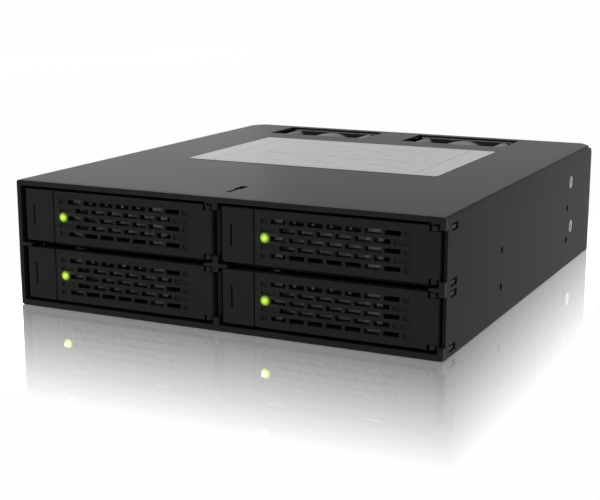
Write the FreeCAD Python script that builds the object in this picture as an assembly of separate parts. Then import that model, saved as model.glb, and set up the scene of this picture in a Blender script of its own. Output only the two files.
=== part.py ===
"""Hot swap drive cage for four 2.5 inch drives, the size of one half-height 5.25 inch bay.

Axes of the finished part: +X to the right seen from the front, +Y to the rear, +Z up.
The origin is the middle of the underside. Inside this file every shape is drawn with
Y = 0 on the front face, and save() moves it back to mid-depth. What belongs to a tray is
drawn about the lower left corner of that tray's front, and each bay gets a copy.
"""
import FreeCAD, Part
import math
import os

V = FreeCAD.Vector
X_AXIS = V(1, 0, 0)
Y_AXIS = V(0, 1, 0)
Z_AXIS = V(0, 0, 1)

# ---------------------------------------------------------------- driving dimensions, mm
CAGE_WIDTH = 146.0        # across the side sheets
CAGE_HEIGHT = 41.3        # one half-height 5.25 inch bay
CAGE_DEPTH = 165.4
HALF_WIDTH = CAGE_WIDTH / 2
SHEET = 1.0               # chassis sheet
BEND_R = 0.7              # outer radius of the tight folds along the top
INNER_HALF = HALF_WIDTH - SHEET
INNER_TOP = CAGE_HEIGHT - SHEET
FIT = 0.05                # gap between parts that are assembled once
OVER = 1.0                # how far a cutting shape runs past what it cuts
ALONG = 0.9               # an edge whose direction has more than this of an axis runs along it

# Side holes of a 5.25 inch device, the same on both sides
SIDE_HOLE_R = 1.25        # M3 tapped
SIDE_HOLE_PITCH_Y = 79.25
SIDE_HOLE_PITCH_Z = 11.84
SIDE_HOLE_FIRST_Y = 52.4
SIDE_HOLE_FIRST_Z = 10.0

# Tabs along the rear edge of the top sheet
REAR_TAB_END = 68.0
REAR_TAB_FOOT = 36.0

# Keyhole slot in the top sheet
KEYHOLE_X = -0.6
KEYHOLE_FRONT = 9.4
KEYHOLE_STEP = 15.7
KEYHOLE_REAR = 20.9
KEYHOLE_NARROW_HALF = 0.6
KEYHOLE_WIDE_HALF = 1.25

# Front bezel
LIP_DEPTH = 1.8           # the part of the bezel in front of the sheets
LIP_R = 0.8               # its corners
BEZEL_DEPTH = 9.0
BAR_TOP = 39.65           # underside of the top bar
BAR_BOTTOM = 1.8          # upper face of the bottom bar
BAR_LEFT = -71.6          # inner face of the left bar
BAR_RIGHT = 71.25         # inner face of the right blocks
HEEL_RECESS = 4.0         # depth of the recesses that the right levers' heels swing in
HEEL_SPAN = (0.85, 15.55)  # their heights, from the foot of a tray's front
POST_LEFT = -0.85         # centre post, where it comes to the front
POST_RIGHT = 1.0
POST_SETBACK = 2.1        # between those places its face is set back and narrower
POST_FACE = (-0.45, 0.95)
POST_BLOCK = 1.35         # how far its front blocks reach past a tray's edge
RAIL_LOW = 19.9           # rail between the two rows of trays
RAIL_HIGH = 20.95
RAIL_SETBACK = 5.5
TAB_LEFT_TIP = -67.75     # pointed tabs that bring the rail to the front
POST_TAB_TIPS = (-4.0, 4.25)
TAB_RIGHT_TIP = 68.1
STUB_DROP = 0.45          # stubs under the top bar, over the upper hinge ears
STUB_LEFT = 66.2
STUB_LIP = 0.6
STUB_LIP_FOOT = 38.8
HOOK_HEIGHTS = (37.6, 21.65, 18.4, 2.4)
HOOK_WINDOW = (5.0, 10.2)  # windows in the side sheets, front to rear
HOOK_WINDOW_HALF = 1.1

# Trays: lower left corner of each front, by column and row
COLUMN_X = (-69.6, 2.5)
ROW_Z = (21.95, 2.9)
FRONT_WIDTH = 68.75
FRONT_HEIGHT = 16.8
MID = FRONT_HEIGHT / 2
SKIN = 2.6                # thickness of lever door and button
EDGE_R = 0.3              # rounding of their front edges
RIM_REAR = 3.2            # rims along the back of their upper and lower edges
RIM = 0.8

# Tray frame
FLOOR_LEFT = -1.4
FLOOR_RIGHT = 68.6
FLOOR_TOP = -0.1
FLOOR_SHEET = 0.8
FLOOR_FOOT = FLOOR_TOP - FLOOR_SHEET
TRAY_FRONT = 5.0
TRAY_REAR = 122.2
CHEEK = 1.0               # walls of the tray's head
CHEEK_FRONT = 3.75
HEAD_REAR = 20.6
HEAD_TOP = 15.0
STOP_TOP = 5.0            # edge that the drive's front end meets
EAR = 1.4                 # height of a hinge ear
EAR_R = 1.2
EAR_REAR = 6.3
EAR_INSET = 0.1
GUIDE_WALL = (6.6, 7.6)   # wall behind the button's stem, front to rear
GUIDE_WALL_RIGHT = 11.0

# Guard behind the door
GUARD_SHEET = 0.6
GUARD_FRONT = 4.2
GUARD_POSTS = ((12.9, 18.15), (44.9, 50.3))
BAND_FRONT = 7.0
BAND_HEIGHTS = (MID - 5.3, MID + 2.3)
GUARD_FOOT = 4.0

# 2.5 inch drive: the place of its connector end, and the holes in its underside
DRIVE_REAR = 121.0
DRIVE_HOLE_R = 1.6        # clearance for M3
DRIVE_HOLE_PITCH_X = 61.72
DRIVE_HOLES_FROM_REAR = (90.6, 14.0)

# Release button, lever door and their hinge
BUTTON_WIDTH = 10.6
SEAM = 0.3
DOOR_LEFT = BUTTON_WIDTH + SEAM
HINGE_X = 67.0
HINGE_Y = 1.3
PIN_R = 0.6
PIN_INSET = 0.2
KNUCKLE_R = 1.3
HEEL_R = 0.8
NOTCH_X = 65.6            # the corners right of here are cut back for the hinge ears
NOTCH_Z = 1.65
CATCH = (11.2, 13.8)      # heights of the door's catch and the button's nose
CATCH_LEFT = 12.0
CATCH_TIP = 11.0
CATCH_BACK = 5.8
CATCH_SHEET = 0.5
STEM = (4.0, 8.0)
STEM_REAR = 6.3
NOSE_FRONT = 3.4
GROOVE = (2.9, 3.45)      # finger groove, left to right
GROOVE_DEPTH = 1.2
GROOVE_FOOT = 5.0
GROOVE_HEIGHT = 6.75
SPRING_Y = 4.7
SPRING_R = 1.3
SPRING_TURNS = 8
LEAF_R = 6.0              # bowed leaf that kicks the lever open
LEAF_SHEET = 0.3
LEAF_HEIGHT = 3.0
LEAF_TAB = 3.25

# Light pipe, from the board over the drive to the lens in the door
LENS_X = 14.2
LENS_R = 1.6
LENS_SETBACK = 0.15
PIPE_BEND = (8.0, 10.0)
PIPE_HALF = 1.0
PIPE_LOW = 15.3
PIPE_HIGH = 16.3

# Vent slots of a lever door
SLOT_WIDTH = 4.9
SLOT_HEIGHT = 1.45
SLOT_PITCH_X = 6.0
SLOT_PITCH_Z = 2.6
SLOT_ROWS = 5
LONG_ROW_X = 16.35        # first slot of rows 1, 3 and 5, which have seven
SHORT_ROW_X = 19.2        # first slot of rows 2 and 4, which have six
LONG_ROW = 7
SHORT_ROW = 6
BLIND_DEPTH = 0.4         # shallow ends that carry the rows on
BLIND_LEFT = 13.1
BLIND_RIGHT = 60.3

# Sheets between the bays
SHELF_TOP = 20.75
SHELF_SHEET = 0.8
SHELF_FLANGE = 0.6
SHELF_FLANGE_FOOT = 16.75
BEAD_LEFT = (8.0, 58.0)   # pressed ribs under each tray
BEAD_WIDTH = 3.0
BEAD_SPAN = (12.0, 118.0)
BEAD_R = 1.2
SLIDE_GAP = 0.1

# Backplane board and what it carries
BOARD_FRONT = 124.5
BOARD_THICKNESS = 1.6
BOARD_REAR = BOARD_FRONT + BOARD_THICKNESS
WALL_REAR = BOARD_FRONT - 0.3
CONNECTOR_X = 42.5        # middle of the drive connector, from the tray's left
CONNECTOR_FRONT = 121.4
AIR_SLOTS = (26.5, 43.5)  # left ends, from the tray's left
AIR_SLOT = (14.0, 5.0)
AIR_SLOT_FOOT = 9.0
AIR_SLOT_R = 2.4
SATA_X = (-66.5, -58.5, 50.5, 58.5)
SATA_HALF = 8.2
SATA_SLOT_HALF = 5.6
POWER_X = (-7.6, -0.7)
POWER_HALF = 12.6
POWER_SLOT_HALF = 10.6
PORT_HALF_WIDTH = 3.0
PORT_REAR = 139.2
PORT_SLOT = 6.0
STANDOFFS = ((-68.3, 6.0), (68.3, 6.0), (-68.3, 34.0), (68.3, 34.0), (-4.0, 4.0), (-4.0, 37.0))
STANDOFF_R = 2.6

# Rear panel, fans, switch and rivets
PANEL_FRONT = 140.2
PANEL_REAR = PANEL_FRONT + SHEET
FLANGE_FRONT = 130.0
FLANGE_HEIGHTS = (3.5, 39.0)
FAN_SIZE = 40.0
FAN_DEPTH = 20.0
FAN_REAR = PANEL_REAR + FAN_DEPTH
FAN_X = (-32.9, 24.45)
FAN_Z = CAGE_HEIGHT / 2
FAN_BORE_R = 18.8
FAN_FLANGE = 3.2
FAN_HOLE_PITCH = 32.0
FAN_HOLE_R = 1.65
FAN_SCREW_R = 1.2
FAN_BLADES = 7
HUB_R = 10.0
TIP_GAP = 0.6
FAN_WINDOW_HALF = 20.8    # cut-outs in the sheets that the fans' edges stand in
FAN_WINDOW_REAR = 161.5
SWITCH_X = 66.0
SWITCH_CHANNEL = (1.4, 4.2)
RIVETS = ((136.0, 30.8), (138.0, 14.0))
RIVET_HEAD_R = 2.45
RIVET_SHANK_R = 1.6
RIVET_HEAD = 0.8
RIVET_REACH = 2.6
RIVET_TAIL_R = 2.1
RIVET_TAIL = 0.6

# Blank label on the top sheet
LABEL_LEFT = -47.5
LABEL_RIGHT = 46.5
LABEL_FRONT = 64.9
LABEL_REAR = 127.9
LABEL_FILM = 0.1
LABEL_R = 1.5


# ---------------------------------------------------------------- small helpers
def box(x0, x1, y0, y1, z0, z1):
    """A block between two corners."""
    return Part.makeBox(x1 - x0, y1 - y0, z1 - z0, V(x0, y0, z0))


def side_box(xa, xb, y0, y1, z0, z1):
    """A block whose two X faces may come in either order, for parts that both sides have."""
    return box(min(xa, xb), max(xa, xb), y0, y1, z0, z1)


def rod(radius, start, end):
    """A round bar from one point to another."""
    run = V(*end) - V(*start)
    return Part.makeCylinder(radius, run.Length, V(*start), run)


def fuse(first, *others):
    """Join touching or overlapping shapes into one clean solid."""
    return first.fuse(list(others)).removeSplitter()


def round_edges(shape, radius, wanted):
    """Fillet the edges whose middle and direction pass the test; a closed ring has no direction."""
    chosen = []
    for edge in shape.Edges:
        run = edge.Vertexes[-1].Point - edge.Vertexes[0].Point
        if run.Length > 0:
            run.normalize()
        if wanted(edge.CenterOfMass, run):
            chosen.append(edge)
    return shape.makeFillet(radius, chosen)


def prism(points, direction, length):
    """A straight-sided outline of (x, y, z) points, extruded."""
    wire = Part.makePolygon([V(*p) for p in points] + [V(*points[0])])
    return Part.Face(wire).extrude(direction * length)


def save(name, *solids):
    """Write one node, moved from front-face to mid-depth coordinates."""
    shape = solids[0] if len(solids) == 1 else Part.makeCompound(list(solids))
    shape = shape.copy()
    shape.translate(V(0, -CAGE_DEPTH / 2, 0))
    shape.exportStep(os.path.join("parts", name + ".step"))


# ---------------------------------------------------------------- chassis
def fan_window(x, z_low, z_high):
    """The cut-out that a fan's edge stands in, in the top and bottom sheets."""
    return box(x - FAN_WINDOW_HALF, x + FAN_WINDOW_HALF, PANEL_REAR, FAN_WINDOW_REAR, z_low, z_high)


def outer_shell():
    """Top sheet with both sides bent down."""
    outside = box(-HALF_WIDTH, HALF_WIDTH, LIP_DEPTH, CAGE_DEPTH, 0, CAGE_HEIGHT)
    outside = round_edges(outside, BEND_R, lambda m, a: abs(a.y) > ALONG and m.z > INNER_TOP)
    cuts = [box(-INNER_HALF, INNER_HALF, 0, CAGE_DEPTH + OVER, -OVER, INNER_TOP)]
    for x in FAN_X:
        cuts.append(fan_window(x, INNER_TOP - OVER, CAGE_HEIGHT + OVER))
    cuts += keyhole_slot()
    for side in (-1, 1):
        cuts += side_cuts(side)
    return fuse(outside.cut(cuts), *rear_tabs())


def rear_tabs():
    """Tabs folded down from the top's rear edge, beside and between the fans."""
    left_fan, right_fan = FAN_X
    spans = ((-REAR_TAB_END, left_fan - FAN_WINDOW_HALF), (left_fan + FAN_WINDOW_HALF, right_fan - FAN_WINDOW_HALF),
             (right_fan + FAN_WINDOW_HALF, REAR_TAB_END))
    return [box(left, right, CAGE_DEPTH - SHEET, CAGE_DEPTH, REAR_TAB_FOOT, INNER_TOP + SHEET / 2)
            for left, right in spans]


def keyhole_slot():
    """Slot in the top near the front, a narrow run that opens into a wider one."""
    low = INNER_TOP - OVER
    high = CAGE_HEIGHT + OVER
    narrow = box(KEYHOLE_X - KEYHOLE_NARROW_HALF, KEYHOLE_X + KEYHOLE_NARROW_HALF,
                 KEYHOLE_FRONT, KEYHOLE_REAR, low, high)
    wide = box(KEYHOLE_X - KEYHOLE_WIDE_HALF, KEYHOLE_X + KEYHOLE_WIDE_HALF,
               KEYHOLE_STEP, KEYHOLE_REAR, low, high)
    return [narrow, wide]


def side_cuts(side):
    """Cuts in one side sheet: tapped holes, bezel hook windows, rivet seats, rear corner."""
    outer = side * (HALF_WIDTH + OVER)
    inner = side * (INNER_HALF - OVER)
    cuts = []
    for row in range(2):
        for column in range(2):
            y = SIDE_HOLE_FIRST_Y + column * SIDE_HOLE_PITCH_Y
            z = SIDE_HOLE_FIRST_Z + row * SIDE_HOLE_PITCH_Z
            cuts.append(rod(SIDE_HOLE_R, (outer, y, z), (inner, y, z)))
    for z in HOOK_HEIGHTS:
        cuts.append(side_box(outer, inner, *HOOK_WINDOW, z - HOOK_WINDOW_HALF, z + HOOK_WINDOW_HALF))
    for y, z in RIVETS:
        cuts.append(rod(RIVET_SHANK_R, (outer, y, z), (inner, y, z)))
        cuts.append(rivet_cone(side, y, z))
    return cuts + [top_corner_cut(side), side_corner_cut(side)]


def top_corner_cut(side):
    """Bevel across the top sheet's rear corner, down to the top of the side sheet."""
    bevel_side = 6.25
    bevel_rear = 4.0
    low = INNER_TOP - 0.2
    outer = side * (HALF_WIDTH + OVER)
    inner = side * (HALF_WIDTH - bevel_rear)
    outline = [(outer, CAGE_DEPTH - bevel_side, low), (inner, CAGE_DEPTH, low),
               (inner, CAGE_DEPTH + OVER, low), (outer, CAGE_DEPTH + OVER, low)]
    return prism(outline, Z_AXIS, SHEET + OVER)


def side_corner_cut(side):
    """What rounding takes off the rear top corner of a side sheet."""
    radius = 2.5
    inner = side * (INNER_HALF - BEND_R / 2)
    outer = side * (HALF_WIDTH + OVER)
    high = INNER_TOP - 0.2
    block = side_box(inner, outer, CAGE_DEPTH - radius, CAGE_DEPTH + OVER, high - radius, high + OVER)
    kept = rod(radius, (inner, CAGE_DEPTH - radius, high - radius), (outer, CAGE_DEPTH - radius, high - radius))
    return block.cut(kept)


def rivet_cone(side, y, z):
    """Countersink that a rivet head fills flush with the side."""
    return Part.makeCone(RIVET_HEAD_R, RIVET_SHANK_R, RIVET_HEAD, V(side * HALF_WIDTH, y, z), V(-side, 0, 0))


def case_rivets():
    """Countersunk rivets that hold the rear panel's flanges to the sides."""
    rivets = []
    for side in (-1, 1):
        face = side * HALF_WIDTH
        end = face - side * RIVET_REACH
        for y, z in RIVETS:
            shank = rod(RIVET_SHANK_R, (face, y, z), (end, y, z))
            tail = rod(RIVET_TAIL_R, (end + side * RIVET_TAIL, y, z), (end, y, z))
            rivets.append(fuse(rivet_cone(side, y, z), shank, tail))
    return rivets


def guide_beads(tray_left, base, top):
    """Two long pressed ribs that a tray slides on."""
    beads = []
    for offset in BEAD_LEFT:
        left = tray_left + offset
        bead = box(left, left + BEAD_WIDTH, *BEAD_SPAN, base, top)
        beads.append(round_edges(bead, BEAD_R, lambda m, a: abs(a.z) > ALONG))
    return beads


def bottom_plate():
    """Flat bottom sheet between the sides, with the lower trays' guide beads."""
    rear_inset = 2.0
    plate = box(-INNER_HALF, INNER_HALF, LIP_DEPTH, CAGE_DEPTH - rear_inset, 0, SHEET)
    beads = []
    for x in COLUMN_X:
        beads += guide_beads(x, SHEET, ROW_Z[1] + FLOOR_FOOT - SLIDE_GAP)
    plate = fuse(plate, *beads)
    return plate.cut([fan_window(x, -OVER, SHEET + OVER) for x in FAN_X])


def wall_face(side):
    """X of the centre wall's face on one side."""
    return (POST_LEFT + POST_RIGHT) / 2 + side * SHEET / 2


def center_wall():
    """Upright sheet between the two columns of trays."""
    return box(wall_face(-1), wall_face(1), BEZEL_DEPTH + FIT, WALL_REAR, SHEET, INNER_TOP)


def shelf(side, tray_left):
    """Sheet between the two rows of one column, with a flange down the cage's side."""
    front = BEZEL_DEPTH + 2 * SHEET
    outer = side * INNER_HALF
    plate = side_box(outer, wall_face(side), front, WALL_REAR, SHELF_TOP - SHELF_SHEET, SHELF_TOP)
    flange = side_box(outer, outer - side * SHELF_FLANGE, front, WALL_REAR, SHELF_FLANGE_FOOT, SHELF_TOP)
    return fuse(plate, flange, *guide_beads(tray_left, SHELF_TOP, RAIL_HIGH))


# ---------------------------------------------------------------- front bezel
def front_bezel():
    """Moulded frame: a lip in front of the sheets, a sleeve inside them, and snap hooks."""
    lip = box(-HALF_WIDTH, HALF_WIDTH, 0, LIP_DEPTH, 0, CAGE_HEIGHT)
    lip = round_edges(lip, LIP_R, lambda m, a: abs(a.y) > ALONG)
    inside = INNER_HALF - FIT
    sleeve = box(-inside, inside, 0, BEZEL_DEPTH, SHEET + FIT, INNER_TOP - FIT)
    opening = box(BAR_LEFT, BAR_RIGHT, -OVER, BEZEL_DEPTH + OVER, BAR_BOTTOM, BAR_TOP)
    frame = lip.fuse(sleeve).cut([opening] + heel_recesses())
    return fuse(frame, center_post(), middle_rail(), *(ear_stubs() + snap_hooks()))


def heel_recesses():
    """The right bar is open in front, level with each tray, so that the levers' heels can swing."""
    low, high = HEEL_SPAN
    return [box(BAR_RIGHT - OVER, HALF_WIDTH + OVER, -OVER, HEEL_RECESS, z + low, z + high) for z in ROW_Z]


def center_post():
    """Post between the columns, flush with the front only at its ends and its cross."""
    upper, lower = ROW_Z
    post = box(*POST_FACE, POST_SETBACK, BEZEL_DEPTH, BAR_BOTTOM, BAR_TOP)
    spans = ((BAR_BOTTOM, lower + POST_BLOCK),
             (lower + FRONT_HEIGHT - POST_BLOCK, upper + POST_BLOCK),
             (upper + FRONT_HEIGHT - POST_BLOCK, BAR_TOP))
    blocks = [box(POST_LEFT, POST_RIGHT, 0, BEZEL_DEPTH, low, high) for low, high in spans]
    left_tip, right_tip = POST_TAB_TIPS
    arms = [prism(pointed_tab(POST_LEFT, left_tip), Y_AXIS, BEZEL_DEPTH),
            prism(pointed_tab(POST_RIGHT, right_tip), Y_AXIS, BEZEL_DEPTH)]
    return fuse(post, *(blocks + arms))


def pointed_tab(root, tip):
    """Outline of a tab on the rail's level that narrows to its tip."""
    slope = 1.0 if tip > root else -1.0
    nip = 0.35
    return [(root, 0, RAIL_LOW), (tip - slope, 0, RAIL_LOW), (tip, 0, RAIL_LOW + nip),
            (tip, 0, RAIL_HIGH - nip), (tip - slope, 0, RAIL_HIGH), (root, 0, RAIL_HIGH)]


def middle_rail():
    """Rail between the rows, set back, brought to the front by a pointed tab at each end."""
    rail = box(BAR_LEFT, BAR_RIGHT, RAIL_SETBACK, BEZEL_DEPTH, RAIL_LOW, RAIL_HIGH)
    left = prism(pointed_tab(BAR_LEFT, TAB_LEFT_TIP), Y_AXIS, RAIL_SETBACK)
    right = prism(pointed_tab(BAR_RIGHT, TAB_RIGHT_TIP), Y_AXIS, RAIL_SETBACK)
    return fuse(rail, left, right)


def ear_stubs():
    """Small hanging blocks of the top bar, one over each upper hinge ear."""
    stubs = []
    foot = BAR_TOP - STUB_DROP
    for x in COLUMN_X:
        left = x + STUB_LEFT
        stubs.append(box(left, x + FRONT_WIDTH, 0, LIP_DEPTH, foot, BAR_TOP))
        stubs.append(box(left, left + STUB_LIP, 0, LIP_DEPTH, STUB_LIP_FOOT, BAR_TOP))
    return stubs


def snap_hooks():
    """Tongues that reach into the side sheets' windows."""
    window_front, window_rear = HOOK_WINDOW
    front_gap = 0.15
    rear_gap = 1.7
    half_height = 0.55
    hooks = []
    for side in (-1, 1):
        root = side * (INNER_HALF - 0.25)
        tip = side * (HALF_WIDTH - 0.15)
        for z in HOOK_HEIGHTS:
            hooks.append(side_box(root, tip, window_front + front_gap, window_rear - rear_gap,
                                  z - half_height, z + half_height))
    return hooks


# ---------------------------------------------------------------- trays
def tray_frame():
    """Tray of formed sheet: floor, head with two cheeks and hinge ears, and a rear post."""
    floor = box(FLOOR_LEFT, FLOOR_RIGHT, TRAY_FRONT, TRAY_REAR, FLOOR_FOOT, FLOOR_TOP)
    left = box(FLOOR_LEFT, FLOOR_LEFT + CHEEK, CHEEK_FRONT, HEAD_REAR, FLOOR_FOOT, HEAD_TOP)
    right = box(FLOOR_RIGHT - CHEEK, FLOOR_RIGHT, CHEEK_FRONT, HEAD_REAR, FLOOR_FOOT, FRONT_HEIGHT - EAR_INSET)
    stop = box(FLOOR_LEFT, FLOOR_RIGHT, HEAD_REAR - CHEEK, HEAD_REAR, FLOOR_TOP, STOP_TOP)
    guide = box(FLOOR_LEFT, GUIDE_WALL_RIGHT, *GUIDE_WALL, FLOOR_TOP, HEAD_TOP - CHEEK / 2)
    post = box(LENS_X - LENS_R, LENS_X + LENS_R, TRAY_REAR - CHEEK, TRAY_REAR, FLOOR_TOP, PIPE_LOW)
    ears = [hinge_ear(EAR_INSET), hinge_ear(FRONT_HEIGHT - EAR_INSET - EAR)]
    frame = fuse(floor, left, right, stop, guide, post, *ears)
    drills = [rod(PIN_R, (HINGE_X, HINGE_Y, -OVER), (HINGE_X, HINGE_Y, FRONT_HEIGHT + OVER))]
    middle = (FLOOR_LEFT + FLOOR_RIGHT) / 2
    for side in (-1, 1):
        x = middle + side * DRIVE_HOLE_PITCH_X / 2
        for distance in DRIVE_HOLES_FROM_REAR:
            y = DRIVE_REAR - distance
            drills.append(rod(DRIVE_HOLE_R, (x, y, FLOOR_FOOT - OVER), (x, y, FLOOR_TOP + OVER)))
    return frame.cut(drills)


def hinge_ear(z):
    """Flat ear with a round nose about the hinge pin, joined to the right cheek."""
    nose = rod(EAR_R, (HINGE_X, HINGE_Y, z), (HINGE_X, HINGE_Y, z + EAR))
    arm = box(HINGE_X - EAR_R, FLOOR_RIGHT, HINGE_Y, EAR_REAR, z, z + EAR)
    return fuse(nose, arm)


def tray_guard():
    """Bare sheet behind the door: two posts on the tray floor and a set-back band between them."""
    back = GUARD_FRONT + GUARD_SHEET
    foot_rear = GUARD_FRONT + GUARD_FOOT
    band_back = BAND_FRONT + GUARD_SHEET
    parts = []
    for left, right in GUARD_POSTS:
        parts.append(box(left, right, GUARD_FRONT, back, FLOOR_TOP, HEAD_TOP))
        parts.append(box(left, right, GUARD_FRONT, foot_rear, FLOOR_TOP, FLOOR_TOP + GUARD_SHEET))
    band_left = GUARD_POSTS[0][1] - GUARD_SHEET
    band_right = GUARD_POSTS[1][0] + GUARD_SHEET
    parts.append(box(band_left, band_right, BAND_FRONT, band_back, *BAND_HEIGHTS))
    parts.append(box(band_left, band_left + GUARD_SHEET, GUARD_FRONT, band_back, *BAND_HEIGHTS))
    parts.append(box(band_right - GUARD_SHEET, band_right, GUARD_FRONT, band_back, *BAND_HEIGHTS))
    pipe_hole = rod(LENS_R + SLIDE_GAP, (LENS_X, 0, MID), (LENS_X, BAND_FRONT, MID))
    return fuse(*parts).cut(pipe_hole)


def front_plate(left, right):
    """Moulded plate of a tray's front, its face edges rounded, with rims along the back."""
    plate = box(left, right, 0, SKIN, 0, FRONT_HEIGHT)
    if right == FRONT_WIDTH:
        plate = round_edges(plate, HEEL_R, lambda m, a: abs(a.z) > ALONG and m.x > right - FIT and m.y < FIT)
    plate = round_edges(plate, EDGE_R, lambda m, a: m.y < FIT)
    rim_right = min(right, NOTCH_X - 2 * RIM)
    rims = [box(left, rim_right, SKIN, RIM_REAR, 0, RIM),
            box(left, rim_right, SKIN, RIM_REAR, FRONT_HEIGHT - RIM, FRONT_HEIGHT)]
    return fuse(plate, *rims)


def lever_door():
    """Lever door: vented plate, notched corners, hinge knuckle, rims and a catch."""
    low, high = CATCH
    plate = front_plate(DOOR_LEFT, FRONT_WIDTH)
    plate = plate.cut([box(NOTCH_X, FRONT_WIDTH + OVER, -OVER, SKIN + OVER, -OVER, NOTCH_Z),
                       box(NOTCH_X, FRONT_WIDTH + OVER, -OVER, SKIN + OVER, FRONT_HEIGHT - NOTCH_Z,
                           FRONT_HEIGHT + OVER)])
    knuckle = rod(KNUCKLE_R, (HINGE_X, HINGE_Y, NOTCH_Z), (HINGE_X, HINGE_Y, FRONT_HEIGHT - NOTCH_Z))
    catch_right = CATCH_LEFT + CATCH_SHEET
    catch = [box(CATCH_LEFT, catch_right, SKIN, CATCH_BACK, low, high),
             box(CATCH_TIP, catch_right, CATCH_BACK - 2 * CATCH_SHEET, CATCH_BACK, low, high)]
    door = fuse(plate, knuckle, *catch)
    cuts = through_slots() + blind_slots()
    cuts.append(rod(LENS_R + 2 * SLIDE_GAP, (LENS_X, -OVER, MID), (LENS_X, SKIN + OVER, MID)))
    cuts.append(rod(PIN_R + FIT, (HINGE_X, HINGE_Y, 0), (HINGE_X, HINGE_Y, FRONT_HEIGHT)))
    return door.cut(cuts)


def slot_rows():
    """Each row's height, first slot and number of slots: long rows alternate with short ones."""
    for index in range(SLOT_ROWS):
        z = MID + (SLOT_ROWS // 2 - index) * SLOT_PITCH_Z
        if index % 2 == 0:
            yield z, LONG_ROW_X, LONG_ROW
        else:
            yield z, SHORT_ROW_X, SHORT_ROW


def slot_cut(left, right, depth, z):
    """One slot of the pattern, cut to a depth from the front."""
    return box(left, right, -OVER, depth, z - SLOT_HEIGHT / 2, z + SLOT_HEIGHT / 2)


def through_slots():
    """The vent slots."""
    slots = []
    for z, first, count in slot_rows():
        for index in range(count):
            x = first + index * SLOT_PITCH_X
            slots.append(slot_cut(x, x + SLOT_WIDTH, SKIN + OVER, z))
    return slots


def blind_slots():
    """Shallow ends that carry the pattern on to both sides, except under the lens."""
    slots = []
    for z, first, count in slot_rows():
        left_end = first - (SLOT_PITCH_X - SLOT_WIDTH)
        if z != MID:
            slots.append(slot_cut(BLIND_LEFT, left_end, BLIND_DEPTH, z))
        slots.append(slot_cut(first + count * SLOT_PITCH_X, BLIND_RIGHT, BLIND_DEPTH, z))
    return slots


def hinge_pin():
    """Pin through both ears and the knuckle."""
    return rod(PIN_R, (HINGE_X, HINGE_Y, PIN_INSET), (HINGE_X, HINGE_Y, FRONT_HEIGHT - PIN_INSET))


def release_button():
    """Sliding latch button with a finger groove, a stem behind it and the latch's nose."""
    low, high = CATCH
    plate = front_plate(0, BUTTON_WIDTH)
    stem = box(*STEM, SKIN, STEM_REAR, low - STEM[1] + SEAM, high)
    nose = box(STEM[1], CATCH_TIP - 2 * SLIDE_GAP, NOSE_FRONT, CATCH_BACK - 2.5 * CATCH_SHEET, low, high)
    groove = box(*GROOVE, -OVER, GROOVE_DEPTH, GROOVE_FOOT, GROOVE_FOOT + GROOVE_HEIGHT)
    return fuse(plate, stem, nose).cut(groove)


def coil(radius, wire, start, direction, turns):
    """A close-wound coil as a ring of round ridges, one for each turn."""
    inner = radius - wire
    ridge = radius - wire / 2
    profile = []
    for turn in range(turns):
        low = turn * wire
        outermost = V(radius, 0, low + wire / 2)
        profile.append(Part.Arc(V(ridge, 0, low), outermost, V(ridge, 0, low + wire)).toShape())
    top = turns * wire
    profile.append(Part.makeLine(V(ridge, 0, top), V(inner, 0, top)))
    profile.append(Part.makeLine(V(inner, 0, top), V(inner, 0, 0)))
    profile.append(Part.makeLine(V(inner, 0, 0), V(ridge, 0, 0)))
    ring = Part.Face(Part.Wire(profile)).revolve(V(0, 0, 0), Z_AXIS, 360)
    ring.Placement = FreeCAD.Placement(V(*start), FreeCAD.Rotation(Z_AXIS, direction))
    return ring


def button_spring():
    """Return spring between the left cheek and the button's stem."""
    left = FLOOR_LEFT + CHEEK
    wire = (STEM[0] - left) / SPRING_TURNS
    return coil(SPRING_R, wire, (left, SPRING_Y, MID), X_AXIS, SPRING_TURNS)


def lever_spring():
    """Leaf on the right cheek that bows forward to the door's back and kicks the lever open."""
    wall = FLOOR_RIGHT - CHEEK
    center_x = wall - LEAF_R
    center_y = SKIN + FIT + SLIDE_GAP + LEAF_R
    low = MID - LEAF_HEIGHT / 2
    center = (center_x, center_y, low)
    outer = Part.makeCylinder(LEAF_R, LEAF_HEIGHT, V(*center), Z_AXIS)
    inner = Part.makeCylinder(LEAF_R - LEAF_SHEET, LEAF_HEIGHT, V(*center), Z_AXIS)
    quarter = box(center_x, wall, center_y - LEAF_R, center_y, low, low + LEAF_HEIGHT)
    bow = outer.cut(inner).common(quarter)
    tab = box(wall - LEAF_SHEET, wall, center_y, center_y + LEAF_TAB, low, low + LEAF_HEIGHT)
    return fuse(bow, tab)


def light_pipe():
    """Clear guide from the drive light at the backplane, over the drive, to the lens."""
    bend_front, bend_rear = PIPE_BEND
    left = LENS_X - PIPE_HALF
    right = LENS_X + PIPE_HALF
    lens = rod(LENS_R, (LENS_X, LENS_SETBACK, MID), (LENS_X, (bend_front + bend_rear) / 2, MID))
    lens = round_edges(lens, 2 * EDGE_R, lambda m, a: m.y < OVER)
    riser = box(left, right, bend_front, bend_rear, MID - PIPE_HALF, PIPE_HIGH)
    strip = box(left, right, bend_front, TRAY_REAR + 0.7, PIPE_LOW, PIPE_HIGH)
    return fuse(lens, riser, strip)


# ---------------------------------------------------------------- backplane and ports
def backplane_board():
    """Circuit board across the cage, with air slots beside the drive connectors."""
    inset = 0.4
    foot = SHEET + 0.6
    width, height = AIR_SLOT
    half = INNER_HALF - inset
    board = box(-half, half, BOARD_FRONT, BOARD_REAR, foot, INNER_TOP - inset)
    cuts = []
    for x0 in COLUMN_X:
        for z0 in ROW_Z:
            low = z0 + AIR_SLOT_FOOT
            for start in AIR_SLOTS:
                left = x0 + start
                slot = box(left, left + width, BOARD_FRONT - OVER, BOARD_REAR + OVER, low, low + height)
                cuts.append(round_edges(slot, AIR_SLOT_R, lambda m, a: abs(a.y) > ALONG))
    return board.cut(cuts)


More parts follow.
